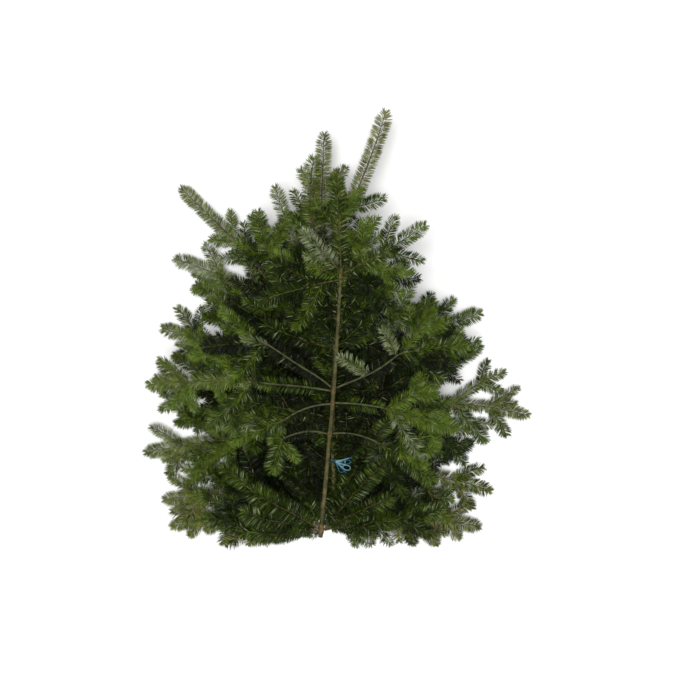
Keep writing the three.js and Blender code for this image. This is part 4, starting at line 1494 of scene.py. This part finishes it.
def round_stems(across, begin):
    """Points round the stems: a stadium on end, which leans by a millimetre on its way."""
    half, bottom, top = band_inside()
    r = half + TWINE_THICK / 2
    low = bottom + half
    high = top - half
    marks = np.cumsum([0, high - low, np.pi * r, high - low, np.pi * r])
    way = (np.linspace(begin, begin + 1, 160) % 1) * marks[-1]
    angle = np.interp(way, marks, [0, 0, np.pi, np.pi, 2 * np.pi])
    centre = np.interp(way, marks, [low, high, high, low, low])
    y = TIE_Y + across + np.linspace(-0.5, 0.5, 160)
    return np.stack([TIE_X + r * np.cos(angle), y, centre + r * np.sin(angle)], axis=1)


def bow_loop(knot, turn, reach, wide):
    """A loop of twine from the knot out along a heading and back, sagging a little on its way."""
    t = np.linspace(0, 1, 60)[:, None]
    out = np.sin(np.pi * t)
    aside = towards(turn + 90) * wide * np.sin(2 * np.pi * t) * out
    lift = np.array([0, 0, BOW_LIFT]) * out * (1 - out)
    return knot + towards(turn) * reach * out + aside + lift


def loose_end(knot, number, heap):
    """One of the twine's two ends, which hangs over in a curve and frays at its tip."""
    to_x, to_y, rise = LOOSE_ENDS[number]
    far = knot + np.array([END_REACH * to_x, END_REACH * to_y, -END_DROP])
    near = knot + np.array([END_CURVE * to_x, END_CURVE * to_y, rise])

    def curve(begin, end, count):
        u = np.linspace(begin, end, count)[:, None]
        return u, knot * (1 - u) ** 2 + 2 * near * u * (1 - u) + far * u**2

    heap.add(*strand(curve(0, END_SHARE, 24)[1], END_RADIUS), tone=number)
    rng = seeded(7, number)
    for _ in range(FRAYED):
        u, line = curve(FRAY_FROM, FRAY_TO, 10)
        stray = rng.normal(0, 1, 3) * np.array(FRAY_STRAY)
        line = line + stray * ((u - FRAY_FROM) / (FRAY_TO - FRAY_FROM)) ** 1.5
        heap.add(*strand(line, FRAY_RADIUS, sides=4, lobes=1), tone=int(rng.integers(0, 2)))


def twine():
    """The band round the stems, its knot, the loops of its bow and its two ends."""
    half, _, top = band_inside()
    heap = Heap()
    for turn, across in enumerate(BAND_TURNS):
        heap.add(*strand(round_stems(across, 0.1 * turn), BAND_RADIUS), tone=turn % 2)
    knot = np.array([TIE_X + half * 0.6, TIE_Y, top + TWINE_THICK + 2])
    t = np.linspace(0, 2 * np.pi, 90)
    loops = np.stack([np.sin(t) + 2 * np.sin(2 * t), np.cos(t) - 2 * np.cos(2 * t), -np.sin(3 * t)], axis=1)
    heap.add(*strand(knot + loops * np.array(KNOT_SIZE), KNOT_RADIUS))
    for number, loop in enumerate(BOW_LOOPS):
        heap.add(*strand(bow_loop(knot, *loop), BOW_RADIUS), tone=number % 2)
    for number in range(len(LOOSE_ENDS)):
        loose_end(knot, number, heap)
    piece = heap.piece("twine_strands", [TWINE_BLUE, TWINE_PALE])
    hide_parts("twine")


# The studio

def floor():
    """A wide sheet of matt paper."""
    mesh = bpy.data.meshes.new("paper")
    corners = [(x * FLOOR_HALF, y * FLOOR_HALF, 0) for x, y in ((-1, -1), (1, -1), (1, 1), (-1, 1))]
    mesh.from_pydata(corners, [], [(0, 1, 2, 3)])
    mesh.materials.append(matt_paper())
    into_scene("paper", mesh)


def far_softbox(name, lean_x, lean_y, wide, strength):
    """A large, distant lamp overhead, leaning by these degrees, which is `wide` degrees across."""
    light = bpy.data.lights.new(name, "SUN")
    light.angle = math.radians(wide)
    light.energy = strength
    into_scene(name, light).rotation_euler = (math.radians(lean_x), math.radians(lean_y), 0)


def studio():
    world = bpy.data.worlds.new("soft_studio")
    world.use_nodes = True
    world.node_tree.nodes["Background"].inputs["Color"].default_value = (1, 1, 1, 1)
    world.node_tree.nodes["Background"].inputs["Strength"].default_value = SKY_STRENGTH
    bpy.context.scene.world = world
    for lamp in LAMPS:
        far_softbox(*lamp)
    bpy.context.scene.view_settings.view_transform = "Standard"


def camera():
    lens = bpy.data.cameras.new("camera")
    lens.lens = CAMERA_LENS
    lens.sensor_width = CAMERA_SENSOR
    lens.clip_end = 100
    tilt = math.radians(CAMERA_TILT)
    back = np.array([0, math.sin(tilt), math.cos(tilt)])
    at = in_part(np.array(CAMERA_AIM) + back * CAMERA_AWAY)
    up = (0, math.cos(tilt), -math.sin(tilt))
    columns = Matrix(((1, 0, 0), up, tuple(back))).transposed().to_4x4()
    viewer = into_scene("camera", lens)
    viewer.matrix_world = Matrix.Translation(at.tolist()) @ columns
    bpy.context.scene.camera = viewer


for bough in BOUGHS:
    dress(bough)
twine()
floor()
studio()
camera()
